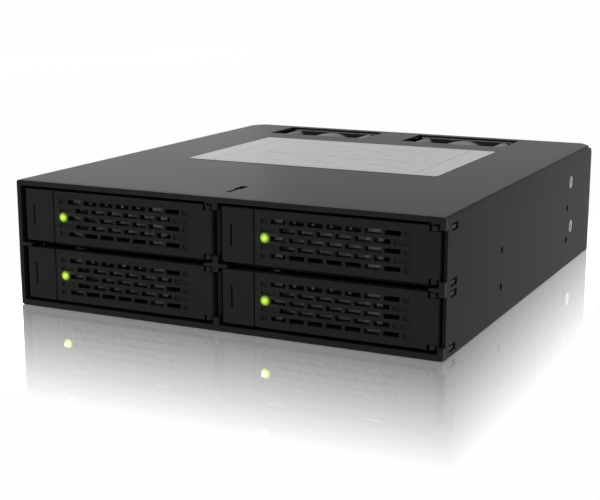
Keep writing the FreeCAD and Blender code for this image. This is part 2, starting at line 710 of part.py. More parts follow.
def drive_connectors():
    """One 22-way receptacle for each drive: a housing with a power and a data tongue."""
    half_width = 20.5
    foot, head = 1.2, 7.0
    tongue_front = CONNECTOR_FRONT - 3.0
    tongue_foot, tongue_head = 3.4, 4.6
    power_left, power_right = -18.0, 2.2
    data_left, data_right = 6.0, 16.4
    parts = []
    for x0 in COLUMN_X:
        for z0 in ROW_Z:
            x = x0 + CONNECTOR_X
            body = box(x - half_width, x + half_width, CONNECTOR_FRONT, BOARD_FRONT, z0 + foot, z0 + head)
            body = round_edges(body, 2 * EDGE_R, lambda m, a: abs(a.y) > ALONG)
            low, high = z0 + tongue_foot, z0 + tongue_head
            power = box(x + power_left, x + power_right, tongue_front, CONNECTOR_FRONT + OVER, low, high)
            data = box(x + data_left, x + data_right, tongue_front, CONNECTOR_FRONT + OVER, low, high)
            parts.append(fuse(body, power, data))
    return parts


def bay_leds():
    """One indicator on the board behind each light pipe."""
    front = BOARD_FRONT - 0.9
    foot, head = 15.0, 16.6
    leds = []
    for x0 in COLUMN_X:
        for z0 in ROW_Z:
            x = x0 + LENS_X
            leds.append(box(x - PIPE_HALF, x + PIPE_HALF, front, BOARD_FRONT, z0 + foot, z0 + head))
    return leds


def port(x, half_length, slot_half_length):
    """Upright socket on the back of the board with a keyed slot open to the rear."""
    slot_half = 1.2
    key_right = 2.2
    slot_front = PORT_REAR - PORT_SLOT
    foot = FAN_Z - slot_half_length
    head = FAN_Z + slot_half_length
    body = box(x - PORT_HALF_WIDTH, x + PORT_HALF_WIDTH, BOARD_REAR, PORT_REAR,
               FAN_Z - half_length, FAN_Z + half_length)
    body = round_edges(body, 0.5, lambda m, a: abs(a.y) > ALONG)
    slot = box(x - slot_half, x + slot_half, slot_front, PORT_REAR + OVER, foot, head)
    key = box(x - slot_half, x + key_right, slot_front, PORT_REAR + OVER, foot, foot + slot_half)
    tongue = box(x - 0.5, x + 0.6, slot_front - 0.5, PORT_REAR - 0.8, foot + 0.5, head - 0.5)
    return fuse(body.cut([slot, key]), tongue)


def sata_ports():
    """Four data ports."""
    return [port(x, SATA_HALF, SATA_SLOT_HALF) for x in SATA_X]


def power_ports():
    """Two power ports between the fans."""
    return [port(x, POWER_HALF, POWER_SLOT_HALF) for x in POWER_X]


# ---------------------------------------------------------------- rear panel, fans, switch
def rear_panel():
    """Panel that carries the fans, with its flanges riveted inside the cage's sides."""
    top = INNER_TOP - 0.25
    front = PANEL_FRONT - OVER
    rear = PANEL_REAR + OVER
    panel = box(-INNER_HALF, INNER_HALF, PANEL_FRONT, PANEL_REAR, SHEET, top)
    flanges = [side_box(side * INNER_HALF, side * (INNER_HALF - SHEET), FLANGE_FRONT, PANEL_FRONT,
                        *FLANGE_HEIGHTS) for side in (-1, 1)]
    cuts = []
    for x in FAN_X:
        cuts.append(rod(FAN_BORE_R, (x, front, FAN_Z), (x, rear, FAN_Z)))
        cuts += [rod(FAN_SCREW_R, (hx, front, hz), (hx, rear, hz)) for hx, hz in fan_holes(x)]
    cuts += [port_window(x, SATA_HALF) for x in SATA_X]
    cuts += [port_window(x, POWER_HALF) for x in POWER_X]
    half_width, half_height = SWITCH_CHANNEL
    cuts.append(box(SWITCH_X - half_width, SWITCH_X + half_width, front, rear,
                    FAN_Z - half_height, FAN_Z + half_height))
    for side in (-1, 1):
        for y, z in RIVETS:
            cuts.append(rod(RIVET_SHANK_R, (side * (INNER_HALF - SHEET - OVER), y, z),
                            (side * (INNER_HALF + OVER), y, z)))
    for x, z in STANDOFFS:
        cuts.append(rod(STANDOFF_R / 2, (x, front, z), (x, rear, z)))
    return fuse(panel, *flanges).cut(cuts)


def port_window(x, half_length):
    """Cut-out behind a port, wide enough for the plug."""
    half_width = PORT_HALF_WIDTH + 0.4
    half_height = half_length + 0.6
    return box(x - half_width, x + half_width, PANEL_FRONT - OVER, PANEL_REAR + OVER,
               FAN_Z - half_height, FAN_Z + half_height)


def fan_holes(x):
    """Centres of a fan's four corner holes."""
    half = FAN_HOLE_PITCH / 2
    return [(x + sx * half, FAN_Z + sz * half) for sx in (-1, 1) for sz in (-1, 1)]


def fan_housing(x):
    """Square fan frame: two flanges on a round duct, corner posts, struts and a motor plate."""
    half = FAN_SIZE / 2
    corner_r = 2.6
    boss_r = 3.9
    duct_r = half - 0.15
    front = PANEL_REAR - OVER
    rear = FAN_REAR + OVER
    block = box(x - half, x + half, PANEL_REAR, FAN_REAR, FAN_Z - half, FAN_Z + half)
    block = round_edges(block, corner_r, lambda m, a: abs(a.y) > ALONG)
    waist = box(x - half - OVER, x + half + OVER, PANEL_REAR + FAN_FLANGE, FAN_REAR - FAN_FLANGE,
                FAN_Z - half - OVER, FAN_Z + half + OVER)
    keep = [rod(duct_r, (x, PANEL_REAR, FAN_Z), (x, FAN_REAR, FAN_Z))]
    keep += [rod(boss_r, (hx, PANEL_REAR, hz), (hx, FAN_REAR, hz)) for hx, hz in fan_holes(x)]
    body = block.cut(waist.cut(keep))
    bore = rod(FAN_BORE_R, (x, front, FAN_Z), (x, rear, FAN_Z))
    drills = [rod(FAN_HOLE_R, (hx, front, hz), (hx, rear, hz)) for hx, hz in fan_holes(x)]
    body = body.cut([bore] + drills)
    plate_front = FAN_REAR - 2.2
    plate = rod(HUB_R + 0.5, (x, plate_front, FAN_Z), (x, FAN_REAR - 0.2, FAN_Z))
    struts = []
    for index in range(4):
        strut = box(-0.9, 0.9, plate_front, FAN_REAR - 0.4, HUB_R - 0.5, FAN_BORE_R + 0.4)
        strut.rotate(V(0, 0, 0), Y_AXIS, 20 + 90 * index)
        strut.translate(V(x, 0, FAN_Z))
        struts.append(strut)
    bearing = rod(1.05, (x, plate_front - OVER, FAN_Z), (x, FAN_REAR - 0.8, FAN_Z))
    return fuse(body, plate, *struts).cut(bearing)


def fan_rotor(x):
    """Hub with a closed front, a shaft and curved blades."""
    front = PANEL_REAR + 1.2
    rear = FAN_REAR - 3.0
    tip_r = FAN_BORE_R - TIP_GAP
    hub = rod(HUB_R, (0, front, 0), (0, rear, 0))
    hub = round_edges(hub, 1.0, lambda m, a: m.y < front + FIT)
    shaft = rod(1.0, (0, rear, 0), (0, rear + 2.0, 0))
    limit = rod(tip_r, (0, front, 0), (0, rear, 0))
    blades = []
    for index in range(FAN_BLADES):
        blade = fan_blade(front + 0.8, rear - 0.8, HUB_R - 0.5, tip_r + 0.5).common(limit)
        blade.rotate(V(0, 0, 0), Y_AXIS, index * 360 / FAN_BLADES)
        blades.append(blade)
    rotor = fuse(hub, shaft, *blades)
    rotor.translate(V(x, 0, FAN_Z))
    return rotor


def fan_blade(front, rear, inner, outer):
    """One blade: a bowed section extruded outwards from the hub."""
    span = 8.0
    thickness = 0.9
    bow = 1.4
    near = [V(-span / 2, front, inner), V(bow, (front + rear) / 2, inner), V(span / 2, rear, inner)]
    far = [p + V(thickness, 0, 0) for p in near]
    outline = [Part.Arc(*near).toShape(), Part.makeLine(near[2], far[2]),
               Part.Arc(far[2], far[1], far[0]).toShape(), Part.makeLine(far[0], near[0])]
    return Part.Face(Part.Wire(outline)).extrude(V(0, 0, outer - inner))


def fan_screws():
    """Screws through the fans' corners into the rear panel."""
    head_r = 2.8
    head_end = FAN_REAR + 1.7
    screws = []
    for x in FAN_X:
        for hx, hz in fan_holes(x):
            shank = rod(FAN_SCREW_R, (hx, PANEL_FRONT - 1.5, hz), (hx, FAN_REAR, hz))
            head = rod(head_r, (hx, FAN_REAR, hz), (hx, head_end, hz))
            head = round_edges(head, 0.7, lambda m, a: m.y > head_end - FIT)
            screws.append(fuse(shank, head))
    return screws


def board_standoffs():
    """Hexagonal posts between the board and the rear panel."""
    posts = []
    for x, z in STANDOFFS:
        corners = [math.radians(60 * index) for index in range(6)]
        ring = [(x + STANDOFF_R * math.cos(angle), BOARD_REAR, z + STANDOFF_R * math.sin(angle))
                for angle in corners]
        posts.append(prism(ring, Y_AXIS, PANEL_FRONT - BOARD_REAR))
    return posts


def board_screws():
    """Screw heads in front of the board, one for each post."""
    head_r = 2.4
    front = BOARD_FRONT - 1.2
    screws = []
    for x, z in STANDOFFS:
        head = rod(head_r, (x, front, z), (x, BOARD_FRONT, z))
        screws.append(round_edges(head, 0.6, lambda m, a: m.y < front + FIT))
    return screws


def speed_switch_body():
    """Body of the fan speed switch, behind the rear panel."""
    half_width, half_height = SWITCH_CHANNEL
    wall_x, wall_z = 1.8, 2.3
    body = box(SWITCH_X - half_width - wall_x, SWITCH_X + half_width + wall_x, PANEL_FRONT - 5.0, PANEL_FRONT,
               FAN_Z - half_height - wall_z, FAN_Z + half_height + wall_z)
    channel = box(SWITCH_X - half_width, SWITCH_X + half_width, PANEL_FRONT - 2.6, PANEL_FRONT + OVER,
                  FAN_Z - half_height, FAN_Z + half_height)
    return body.cut(channel)


def speed_switch_knob():
    """Slider of the switch, in its middle position."""
    half_width = SWITCH_CHANNEL[0] - 0.2
    half_height = 1.6
    end = PANEL_REAR + 2.4
    knob = box(SWITCH_X - half_width, SWITCH_X + half_width, PANEL_FRONT - 2.4, end,
               FAN_Z - half_height, FAN_Z + half_height)
    return round_edges(knob, 0.4, lambda m, a: m.y > end - FIT)


def top_label():
    """Blank polyester rating label on the top sheet."""
    label = box(LABEL_LEFT, LABEL_RIGHT, LABEL_FRONT, LABEL_REAR, CAGE_HEIGHT, CAGE_HEIGHT + LABEL_FILM)
    return round_edges(label, LABEL_R, lambda m, a: abs(a.z) > ALONG)


# ---------------------------------------------------------------- build
os.makedirs("parts", exist_ok=True)

save("outer_shell", outer_shell())
save("bottom_plate", bottom_plate())
save("front_bezel", front_bezel())
save("center_wall", center_wall())
save("shelf_left", shelf(-1, COLUMN_X[0]))
save("shelf_right", shelf(1, COLUMN_X[1]))
save("backplane_board", backplane_board())
save("drive_connectors", *drive_connectors())
save("bay_leds", *bay_leds())
save("sata_ports", *sata_ports())
save("power_ports", *power_ports())
save("rear_panel", rear_panel())
save("board_standoffs", *board_standoffs())
save("board_screws", *board_screws())
save("case_rivets", *case_rivets())
save("top_label", top_label())
save("speed_switch_body", speed_switch_body())
save("speed_switch_knob", speed_switch_knob())
save("fan_screws", *fan_screws())
for fan_name, fan_x in zip(("left", "right"), FAN_X):
    save("fan_housing_" + fan_name, fan_housing(fan_x))
    save("fan_rotor_" + fan_name, fan_rotor(fan_x))

TRAY_PARTS = {
    "tray_frame": tray_frame(),
    "tray_screen": tray_guard(),
    "lever_door": lever_door(),
    "hinge_pin": hinge_pin(),
    "lever_spring": lever_spring(),
    "release_button": release_button(),
    "button_spring": button_spring(),
    "light_pipe": light_pipe(),
}
# Trays are numbered as they are read: upper left, upper right, lower left, lower right.
number = 0
for row_z in ROW_Z:
    for column_x in COLUMN_X:
        number += 1
        for part_name, part_shape in TRAY_PARTS.items():
            placed = part_shape.copy()
            placed.translate(V(column_x, 0, row_z))
            save(part_name + "_" + str(number), placed)
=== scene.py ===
"""Hot swap drive cage for four 2.5 inch drives: its finishes, fine pieces, light and camera.

Every size below is in millimetres, with X across the cage, Y = 0 on its front face and running
to the rear, and Z up from its underside. build() moves the pieces to the middle of the depth and
turns millimetres to metres, so that they lie in the frame of the CAD.
"""
import math

import bmesh
import bpy
import numpy as np
from mathutils import Matrix, Vector


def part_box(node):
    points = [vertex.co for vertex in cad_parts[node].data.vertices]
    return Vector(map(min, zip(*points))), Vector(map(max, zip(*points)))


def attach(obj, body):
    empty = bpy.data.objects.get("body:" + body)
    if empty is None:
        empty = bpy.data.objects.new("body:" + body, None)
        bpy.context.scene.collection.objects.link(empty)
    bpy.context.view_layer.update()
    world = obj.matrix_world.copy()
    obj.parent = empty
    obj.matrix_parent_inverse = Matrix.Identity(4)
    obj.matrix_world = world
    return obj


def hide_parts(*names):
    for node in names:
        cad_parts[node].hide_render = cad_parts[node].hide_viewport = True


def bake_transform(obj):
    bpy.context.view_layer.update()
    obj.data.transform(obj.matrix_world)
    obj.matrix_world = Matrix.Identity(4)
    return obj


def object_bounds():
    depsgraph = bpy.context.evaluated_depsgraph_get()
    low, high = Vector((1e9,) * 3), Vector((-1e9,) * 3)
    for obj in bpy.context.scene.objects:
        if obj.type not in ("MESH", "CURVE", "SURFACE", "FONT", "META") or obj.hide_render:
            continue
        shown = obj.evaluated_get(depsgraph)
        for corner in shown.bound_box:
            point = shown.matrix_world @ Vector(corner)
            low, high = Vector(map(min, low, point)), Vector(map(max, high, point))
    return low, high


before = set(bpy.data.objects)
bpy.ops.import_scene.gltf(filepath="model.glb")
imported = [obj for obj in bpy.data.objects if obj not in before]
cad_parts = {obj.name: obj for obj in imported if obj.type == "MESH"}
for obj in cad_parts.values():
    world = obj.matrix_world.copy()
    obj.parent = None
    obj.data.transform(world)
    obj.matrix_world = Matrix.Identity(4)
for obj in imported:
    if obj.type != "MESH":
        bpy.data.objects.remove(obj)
cad_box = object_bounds()

MM = 0.001
TURN = 2 * math.pi
CREASE = math.radians(35)  # faces that meet more sharply than this keep a hard edge
HALF_WIDTH = round(cad_box[1][0] / MM, 3)
HALF_DEPTH = round(cad_box[1][1] / MM, 3)


def ends(node):
    """The lowest and highest corners of a CAD node, in millimetres from the cage's front and foot."""
    corners = np.array([tuple(corner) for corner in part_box(node)]) / MM
    return np.round(corners + (0, HALF_DEPTH, 0), 3)


CAGE_HEIGHT = ends("outer_shell")[1, 2]

# Lower left corner of each tray's front, which is its button's, and half the front's height
BUTTONS = [ends("release_button_%d" % number) for number in (1, 2, 3, 4)]
TRAYS = [(low[0], low[2]) for low, high in BUTTONS]
MID = (BUTTONS[0][1, 2] - BUTTONS[0][0, 2]) / 2

# Lens and button spring, from that corner
LENS_X = ends("light_pipe_1")[:, 0].mean() - TRAYS[0][0]
LENS_R = 1.66
GLOW_AHEAD = 0.9          # how far the small lamp stands in front of its lens
SPRING_LEFT, SPRING_RIGHT = ends("button_spring_1")[:, 0] - TRAYS[0][0]
SPRING_Y = ends("button_spring_1")[:, 1].mean()

# Strip with pips between the guard's posts, from that corner too
STRIP_ENDS = (17.9, 17.95, 45.05, 45.1)
STRIP_Y = 4.6
STRIP_HALF_DEPTH = 0.25
PIPS = (21.95, 27.95, 33.95, 39.95, 44.4)
PIP_R = 0.62
PIP_ROW = MID + 4.2       # height at which the pips show through the upper row of slots

# Rivets as (Y, Z) on both sides, the tapped side holes likewise, and standoffs as (X, Z)
RIVETS = ((136.0, 30.8), (138.0, 14.0))
SIDE_HOLE_FIRST = (52.4, 10.0)
SIDE_HOLE_PITCH = (79.25, 11.84)
STANDOFFS = ((-68.3, 6.0), (68.3, 6.0), (-68.3, 34.0), (68.3, 34.0), (-4.0, 4.0), (-4.0, 37.0))
BOARD_FACE = ends("backplane_board")[0, 1]
FANS = [ends("fan_housing_left"), ends("fan_housing_right")]
FAN_X = [fan[:, 0].mean() for fan in FANS]
FAN_FACE = FANS[0][1, 1]
FAN_HOLE_OUT = 16.0       # from the middle of a fan to its screws, across and up

# Screws: radius and height of the head, then radius and length of the shank
FAN_SCREW = (2.8, 1.7, 1.2, 22.5)
BOARD_SCREW = (2.4, 1.2, 1.0, 0.0)

# Contacts. A row in a drive's receptacle is its first contact's place and how many there are, 15
# for power and 7 for data; a port has 7 for data or 15 for power, about its middle
CONTACT_PITCH = 1.27
RECEPTACLE_X = 42.5
RECEPTACLE_ROWS = ((-16.8, 15), (7.4, 7))
PORT_ROWS = (((-66.5, -58.5, 50.5, 58.5), 7), ((-7.6, -0.7), 15))
TONGUE_FRONT = ends("drive_connectors")[0, 1]
TONGUE_REAR = TONGUE_FRONT + 3.0
TONGUE_TOP = 4.6          # above the foot of the tray's front
PORT_TONGUE_END = ends("sata_ports")[1, 1] - 0.77

# Floor: how far the mirror image reaches in front and beside, and how strong it is at most
MIRROR_AHEAD = 74.0
MIRROR_BESIDE = (28.5, 21.0)   # at the front and at the rear of the cage
MIRROR_PEAK = (0.53, 0.37)     # likewise

# Camera and soft boxes, from the middle of the underside
AIM = (0, 0, 20.0)        # what the soft boxes look at
EYE = (189.41, -412.69, 109.06)
EYE_AZIMUTH = 26.0
EYE_ELEVATION = 12.46
FOCAL_LENGTH = 77.71
SENSOR_WIDTH = 36.0


# ---------------------------------------------------------------- meshes
def build(name, grids, material, body, radial=None):
    """One piece from grids of points. The cell between four neighbours of a grid is a face; points
    that fall together at seams and poles are merged, and then the faces are turned outwards. Where
    radial is given, the mesh keeps it as a number at each point."""
    corners, faces, count = [], [], 0
    for grid in grids:
        rows, columns = grid.shape[:2]
        index = count + np.arange(rows * columns).reshape(rows, columns)
        cells = np.stack([index[:-1, :-1], index[1:, :-1], index[1:, 1:], index[:-1, 1:]], -1)
        faces.append(cells.reshape(-1, 4))
        corners.append(grid.reshape(-1, 3))
        count += rows * columns
    points = (np.concatenate(corners) - (0, HALF_DEPTH, 0)) * MM
    mesh = bpy.data.meshes.new(name)
    mesh.from_pydata(points, [], np.concatenate(faces))
    if radial is not None:
        values = mesh.attributes.new("radial", "FLOAT", "POINT").data
        values.foreach_set("value", radial.astype(np.float32))
    form = bmesh.new()
    form.from_mesh(mesh)
    bmesh.ops.remove_doubles(form, verts=form.verts, dist=1e-7)
    bmesh.ops.recalc_face_normals(form, faces=form.faces)
    form.to_mesh(mesh)
    form.free()
    mesh.polygons.foreach_set("use_smooth", np.ones(len(mesh.polygons), bool))
    mesh.set_sharp_from_angle(angle=CREASE)
    mesh.materials.append(material)
    piece = bpy.data.objects.new(name, mesh)
    bpy.context.collection.objects.link(piece)
    if body:
        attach(piece, body)
    return piece


def turned(profile, centre, axis, segments=48):
    """A turned surface. A point is the centre, plus its height along the axis, plus its radius
    times (cos t, sin t) across the axis, for t once round."""
    radius, height = np.array(profile, float).T[..., None, None]
    angle = np.linspace(0, TURN, segments + 1)[:, None]
    axis = np.array(axis, float)
    across = np.roll(axis, 1)
    ring = np.cos(angle) * across + np.sin(angle) * np.cross(axis, across)
    return centre + height * axis + radius * ring


def carried(section, path, out, side, scale=None):
    """A section carried along a path. A point is the path's point, plus the section's first number
    along out and its second along side, both times the scale at that point of the path."""
    path, section = np.array(path, float), np.array(section, float)
    scale = np.ones(len(path)) if scale is None else np.array(scale, float)
    out = np.broadcast_to(np.array(out, float), path.shape)
    side = np.broadcast_to(np.array(side, float), path.shape)
    reach = scale[:, None, None]
    outwards = reach * section[None, :, :1] * out[:, None]
    sideways = reach * section[None, :, 1:] * side[:, None]
    return path[:, None] + outwards + sideways


def rivet(side, y, z):
    """A countersunk blind rivet, turned about X: flush head, mandrel end in its middle, bulged tail."""
    profile = [(0, -0.42), (0.62, -0.42), (0.78, -0.36), (0.84, -0.12), (0.95, -0.03), (1.2, -0.01),
               (1.7, -0.02), (2.2, -0.05), (2.36, -0.1), (2.4, -0.2), (1.62, -0.86), (1.6, -1.9),
               (1.75, -2.0), (2.1, -2.2), (2.1, -2.4), (1.9, -2.56), (1.2, -2.6), (0, -2.6)]
    return turned(profile, (side * HALF_WIDTH, y, z), (side, 0, 0), 64)


def cross_screw(centre, axis, head_radius, head_height, shank_radius, shank_length):
    """A pan head screw: a turned head whose top is crowned as 1 - (r / R)^2, less a cross recess
    that is deepest in the middle and falls away with the distance from the nearer of two axes."""
    crown, recess_depth = 0.3 * head_height, 1.0
    recess_radius, half_width = 0.56 * head_radius, 0.16 * head_radius
    inner = np.linspace(0, 0.86, 26) * head_radius
    top = [(r, head_height - crown * (r / head_radius) ** 2) for r in inner]
    rim = head_height - crown
    skirt = [(head_radius * 0.95, rim - 0.08), (head_radius, rim - 0.3), (head_radius, 0.1),
             (head_radius - 0.1, 0)]
    if shank_length:
        skirt += [(shank_radius, 0), (shank_radius, 0.4 - shank_length), (0.6 * shank_radius, -shank_length)]
    profile = np.array(top + skirt + [(0, -shank_length)])
    segments = 96
    grid = turned(profile, centre, axis, segments)
    angle = np.linspace(0, TURN, segments + 1)[None, :]
    radius = profile[:, :1]
    near = np.minimum(np.abs(radius * np.cos(angle)), np.abs(radius * np.sin(angle)))
    width = np.clip((half_width - near) / (0.35 * half_width), 0, 1)
    length = np.clip((recess_radius - radius) / (0.25 * recess_radius), 0, 1)
    sunk = recess_depth * (1 - 0.45 * radius / recess_radius) * width * length * (profile[:, 1:] > rim)
    return grid - sunk[..., None] * np.array(axis, float)


def spring_coil(x, z):
    """A round wire wound on a helix along X. Its pitch is small in the closed turns, 0.8 of a turn at
    each end that take 0.05 of the length, and even in the 0.9 between them. Each ring of the wire
    lies across the helix's own direction."""
    left, right = x + SPRING_LEFT, x + SPRING_RIGHT
    mean_radius, wire, turns, closed = 1.14, 0.15, 7.0, 0.8
    t = np.linspace(0, 1, 260)
    first = np.minimum(t * turns / closed, 1)
    even = np.clip((t * turns - closed) / (turns - 2 * closed), 0, 1)
    last = np.clip((t * turns - turns + closed) / closed, 0, 1)
    along = left + wire + (right - left - 2 * wire) * (0.9 * even + 0.05 * first + 0.05 * last)
    angle = TURN * turns * t
    radial = np.stack([np.zeros_like(t), np.cos(angle), np.sin(angle)], -1)
    middle = np.stack([along, np.full_like(t, SPRING_Y), np.full_like(t, z + MID)], -1)
    path = middle + mean_radius * radial
    run = np.gradient(path, axis=0)
    run /= np.linalg.norm(run, axis=1)[:, None]
    round_wire = np.linspace(0, TURN, 13)
    section = wire * np.stack([np.cos(round_wire), np.sin(round_wire)], -1)
    thickness = np.ones(len(path) + 2)
    thickness[[0, -1]] = 0
    stretch = [0] + list(range(len(path))) + [-1]
    return carried(section, path[stretch], radial[stretch], np.cross(run, radial)[stretch], thickness)


def lens_dome(x, z):
    """A shallow dome: its depth is 0.02 + 0.73 (1 - (1 - s^p)^(1/p)), with s the radius over the
    rim's and p = 3.2, so that it is nearly flat and then rolls over into its rim."""
    share = np.sin(np.linspace(0, math.pi / 2, 22))
    power = 3.2
    depth = 0.02 + 0.73 * (1 - (1 - share ** power) ** (1 / power))
    profile = [(LENS_R * s, -d) for s, d in zip(share, depth)] + [(1.2, -0.9), (0, -0.9)]
    return turned(profile, (x + LENS_X, 0, z + MID), (0, -1, 0), 56)


def thread(side, y, z):
    """The tapped wall of an M3 hole: its radius is 1.13 at the crests and 1.24 at the roots, a
    triangle wave of the height less the angle, so that it climbs 0.5 for each turn."""
    crest, tooth, pitch = 1.13, 0.11, 0.5
    height = np.linspace(-1.0, -0.02, 33)[:, None]
    angle = np.linspace(0, TURN, 49)[None, :]
    wave = np.abs(((height / pitch - angle / TURN) % 1) * 2 - 1)
    wall = crest + tooth * wave
    rim = np.full_like(angle, 1.249)
    radius = np.concatenate([rim, wall, rim, rim])
    height = np.concatenate([height[:1], height, height[-1:], height[:1]])
    return np.stack([side * (HALF_WIDTH + height) + 0 * angle, y + radius * np.cos(angle),
                     z + radius * np.sin(angle)], -1)


def strip(x, z):
    """A flat strip between the guard's posts with a row of pips. The strip's section is a rounded
    rectangle, (|cos t|^0.4, |sin t|^0.4) with the signs kept, carried along X. A pip is turned about
    Y: its height is 0.35 (1 - s^2), with s the radius over the rim's."""
    corner = np.linspace(0, TURN, 17)
    squared = np.stack([STRIP_HALF_DEPTH * np.sign(np.cos(corner)) * np.abs(np.cos(corner)) ** 0.4,
                        np.sign(np.sin(corner)) * np.abs(np.sin(corner)) ** 0.4], -1)
    path = [(x + end, STRIP_Y, z + PIP_ROW) for end in STRIP_ENDS]
    flat = carried(squared, path, (0, 1, 0), (0, 0, 1), (0, 1, 1, 0))
    share = np.linspace(0, 1, 6)
    dome = [(PIP_R * s, 0.35 * (1 - s * s)) for s in share] + [(PIP_R, -0.1), (0, -0.1)]
    face = STRIP_Y - STRIP_HALF_DEPTH
    pips = [turned(dome, (x + along, face, z + PIP_ROW), (0, -1, 0), 16) for along in PIPS]
    return flat, pips


def drive_contact(x, z):
    """A flat gold contact: a low arch carried along a tongue's upper face and down over its end."""
    arch = np.linspace(0, math.pi, 7)
    section = np.stack([0.05 * np.sin(arch), 0.25 * np.cos(arch)], -1)
    front, top = TONGUE_FRONT, z + TONGUE_TOP
    path = [(x, front - 0.03, top - 0.5), (x, front - 0.02, top - 0.25), (x, front + 0.08, top - 0.02),
            (x, front + 0.3, top), (x, (front + TONGUE_REAR) / 2, top), (x, TONGUE_REAR, top)]
    out = [(0, -1, 0), (0, -0.97, 0.24), (0, -0.6, 0.8), (0, 0, 1), (0, 0, 1), (0, 0, 1)]
    return carried(np.vstack([section, section[:1]]), path, out, (1, 0, 0))


def port_contact(x, z):
    """A gold contact on the left face of a port's upright tongue: a low arch carried inwards from
    the tongue's rear end, which it rounds."""
    arch = np.linspace(0, math.pi, 5)
    section = np.stack([0.05 * np.sin(arch), 0.3 * np.cos(arch)], -1)
    end = PORT_TONGUE_END
    path = [(x + 0.05, end, z), (x - 0.35, end, z), (x - 0.5, end - 0.18, z), (x - 0.5, end - 3.43, z)]
    out = [(0, 1, 0), (-0.3, 0.95, 0), (-0.95, 0.3, 0), (-1, 0, 0)]
    return carried(np.vstack([section, section[:1]]), path, out, (0, 0, 1))


# ---------------------------------------------------------------- materials
def linear(code):
    """An sRGB hex colour as the linear RGBA that shaders use."""
    values = [int(code[i:i + 2], 16) / 255 for i in (1, 3, 5)]
    return [v / 12.92 if v <= 0.04045 else ((v + 0.055) / 1.055) ** 2.4 for v in values] + [1.0]


def join(tree, node, links):
    """Give a node's inputs a value, or an output of another node to read."""
    for name, value in links.items():
        if isinstance(value, bpy.types.NodeSocket):
            tree.links.new(value, node.inputs[name])
        else:
            node.inputs[name].default_value = value


def add(tree, kind, links=None, **settings):
    """Add a node: settings are its properties, and links are what its inputs hold or read."""
    node = tree.nodes.new(kind)
    for name, value in settings.items():
        setattr(node, name, value)
    join(tree, node, links or {})
    return node


def start(name, **constants):
    """A material with an empty principled shader whose plain numbers are set, and its place input."""
    material = bpy.data.materials.new(name)
    material.use_nodes = True
    tree = material.node_tree
    tree.nodes.clear()
    values = {key.replace("_", " "): value for key, value in constants.items()}
    shader = add(tree, "ShaderNodeBsdfPrincipled", values)
    add(tree, "ShaderNodeOutputMaterial", {"Surface": shader.outputs[0]})
    return material, tree, shader, add(tree, "ShaderNodeTexCoord").outputs["Object"]


def per_metre(size):
    """Texture scale at which one feature is this many millimetres, on Object coordinates."""
    return 1 / (size * MM)


def powder_coated_steel():
    # Polyester powder coat on sheet steel, stoved: an even soft black whose skin is very slightly
    # dimpled. It looks dark from the front and catches a broad pale sheen at a low angle.
    material, tree, shader, place = start("Powder coated steel", Specular_IOR_Level=0.014)
    # Orange peel has dimples 1 to 2 mm across; the pigment's grain is 0.05 mm and drawn at 0.5
    peel = add(tree, "ShaderNodeTexNoise", {"Vector": place, "Scale": per_metre(1.6), "Detail": 1.5})
    grain = add(tree, "ShaderNodeTexNoise", {"Vector": place, "Scale": per_metre(0.5), "Detail": 2.0})
    drift = add(tree, "ShaderNodeTexNoise", {"Vector": place, "Scale": per_metre(60), "Detail": 3.0})
    tone = add(tree, "ShaderNodeMix", {0: drift.outputs["Fac"], 6: linear("#111112"), 7: linear("#171718")},
               data_type="RGBA")
    speck = add(tree, "ShaderNodeMix", {0: grain.outputs["Fac"], 6: tone.outputs[2], 7: linear("#242425")},
                data_type="RGBA")
    rough = add(tree, "ShaderNodeMapRange", {"Value": grain.outputs["Fac"], "To Min": 0.26, "To Max": 0.34})
    worn = add(tree, "ShaderNodeBevel", {"Radius": 0.25 * MM}, samples=4)
    rise = add(tree, "ShaderNodeBump", {"Strength": 0.5, "Distance": 0.012 * MM,
                                        "Height": peel.outputs["Fac"], "Normal": worn.outputs["Normal"]})
    fine = add(tree, "ShaderNodeBump", {"Strength": 0.4, "Distance": 0.008 * MM,
                                        "Height": grain.outputs["Fac"], "Normal": rise.outputs["Normal"]})
    join(tree, shader, {"Base Color": speck.outputs[2], "Roughness": rough.outputs["Result"],
                        "Normal": fine.outputs["Normal"]})
    return material


def spark_eroded_abs():
    # ABS moulded in a spark-eroded tool: a fine, even, matt black grain with hardly any gloss, and
    # thin paler lines where the grain is polished off the edges.
    material, tree, shader, place = start("Spark eroded ABS", Specular_IOR_Level=0.1)
    # The tool's pits are about 0.1 mm across and drawn at 0.45 so that they show
    pits = add(tree, "ShaderNodeTexVoronoi", {"Vector": place, "Scale": per_metre(0.45)}, feature="SMOOTH_F1")
    grain = add(tree, "ShaderNodeTexNoise", {"Vector": place, "Scale": per_metre(0.7), "Detail": 3.0})
    flow = add(tree, "ShaderNodeTexNoise", {"Vector": place, "Scale": per_metre(25), "Detail": 2.0})
    tone = add(tree, "ShaderNodeMix", {0: flow.outputs["Fac"], 6: linear("#121213"), 7: linear("#161617")},
               data_type="RGBA")
    speck = add(tree, "ShaderNodeMix", {0: grain.outputs["Fac"], 6: tone.outputs[2], 7: linear("#1D1D1E")},
                data_type="RGBA")
    rough = add(tree, "ShaderNodeMapRange", {"Value": grain.outputs["Fac"], "To Min": 0.42, "To Max": 0.6})
    worn = add(tree, "ShaderNodeBevel", {"Radius": 0.14 * MM}, samples=4)
    rise = add(tree, "ShaderNodeBump", {"Strength": 0.6, "Distance": 0.03 * MM,
                                        "Height": pits.outputs["Distance"], "Normal": worn.outputs["Normal"]})
    join(tree, shader, {"Base Color": speck.outputs[2], "Roughness": rough.outputs["Result"],
                        "Normal": rise.outputs["Normal"]})
    return material


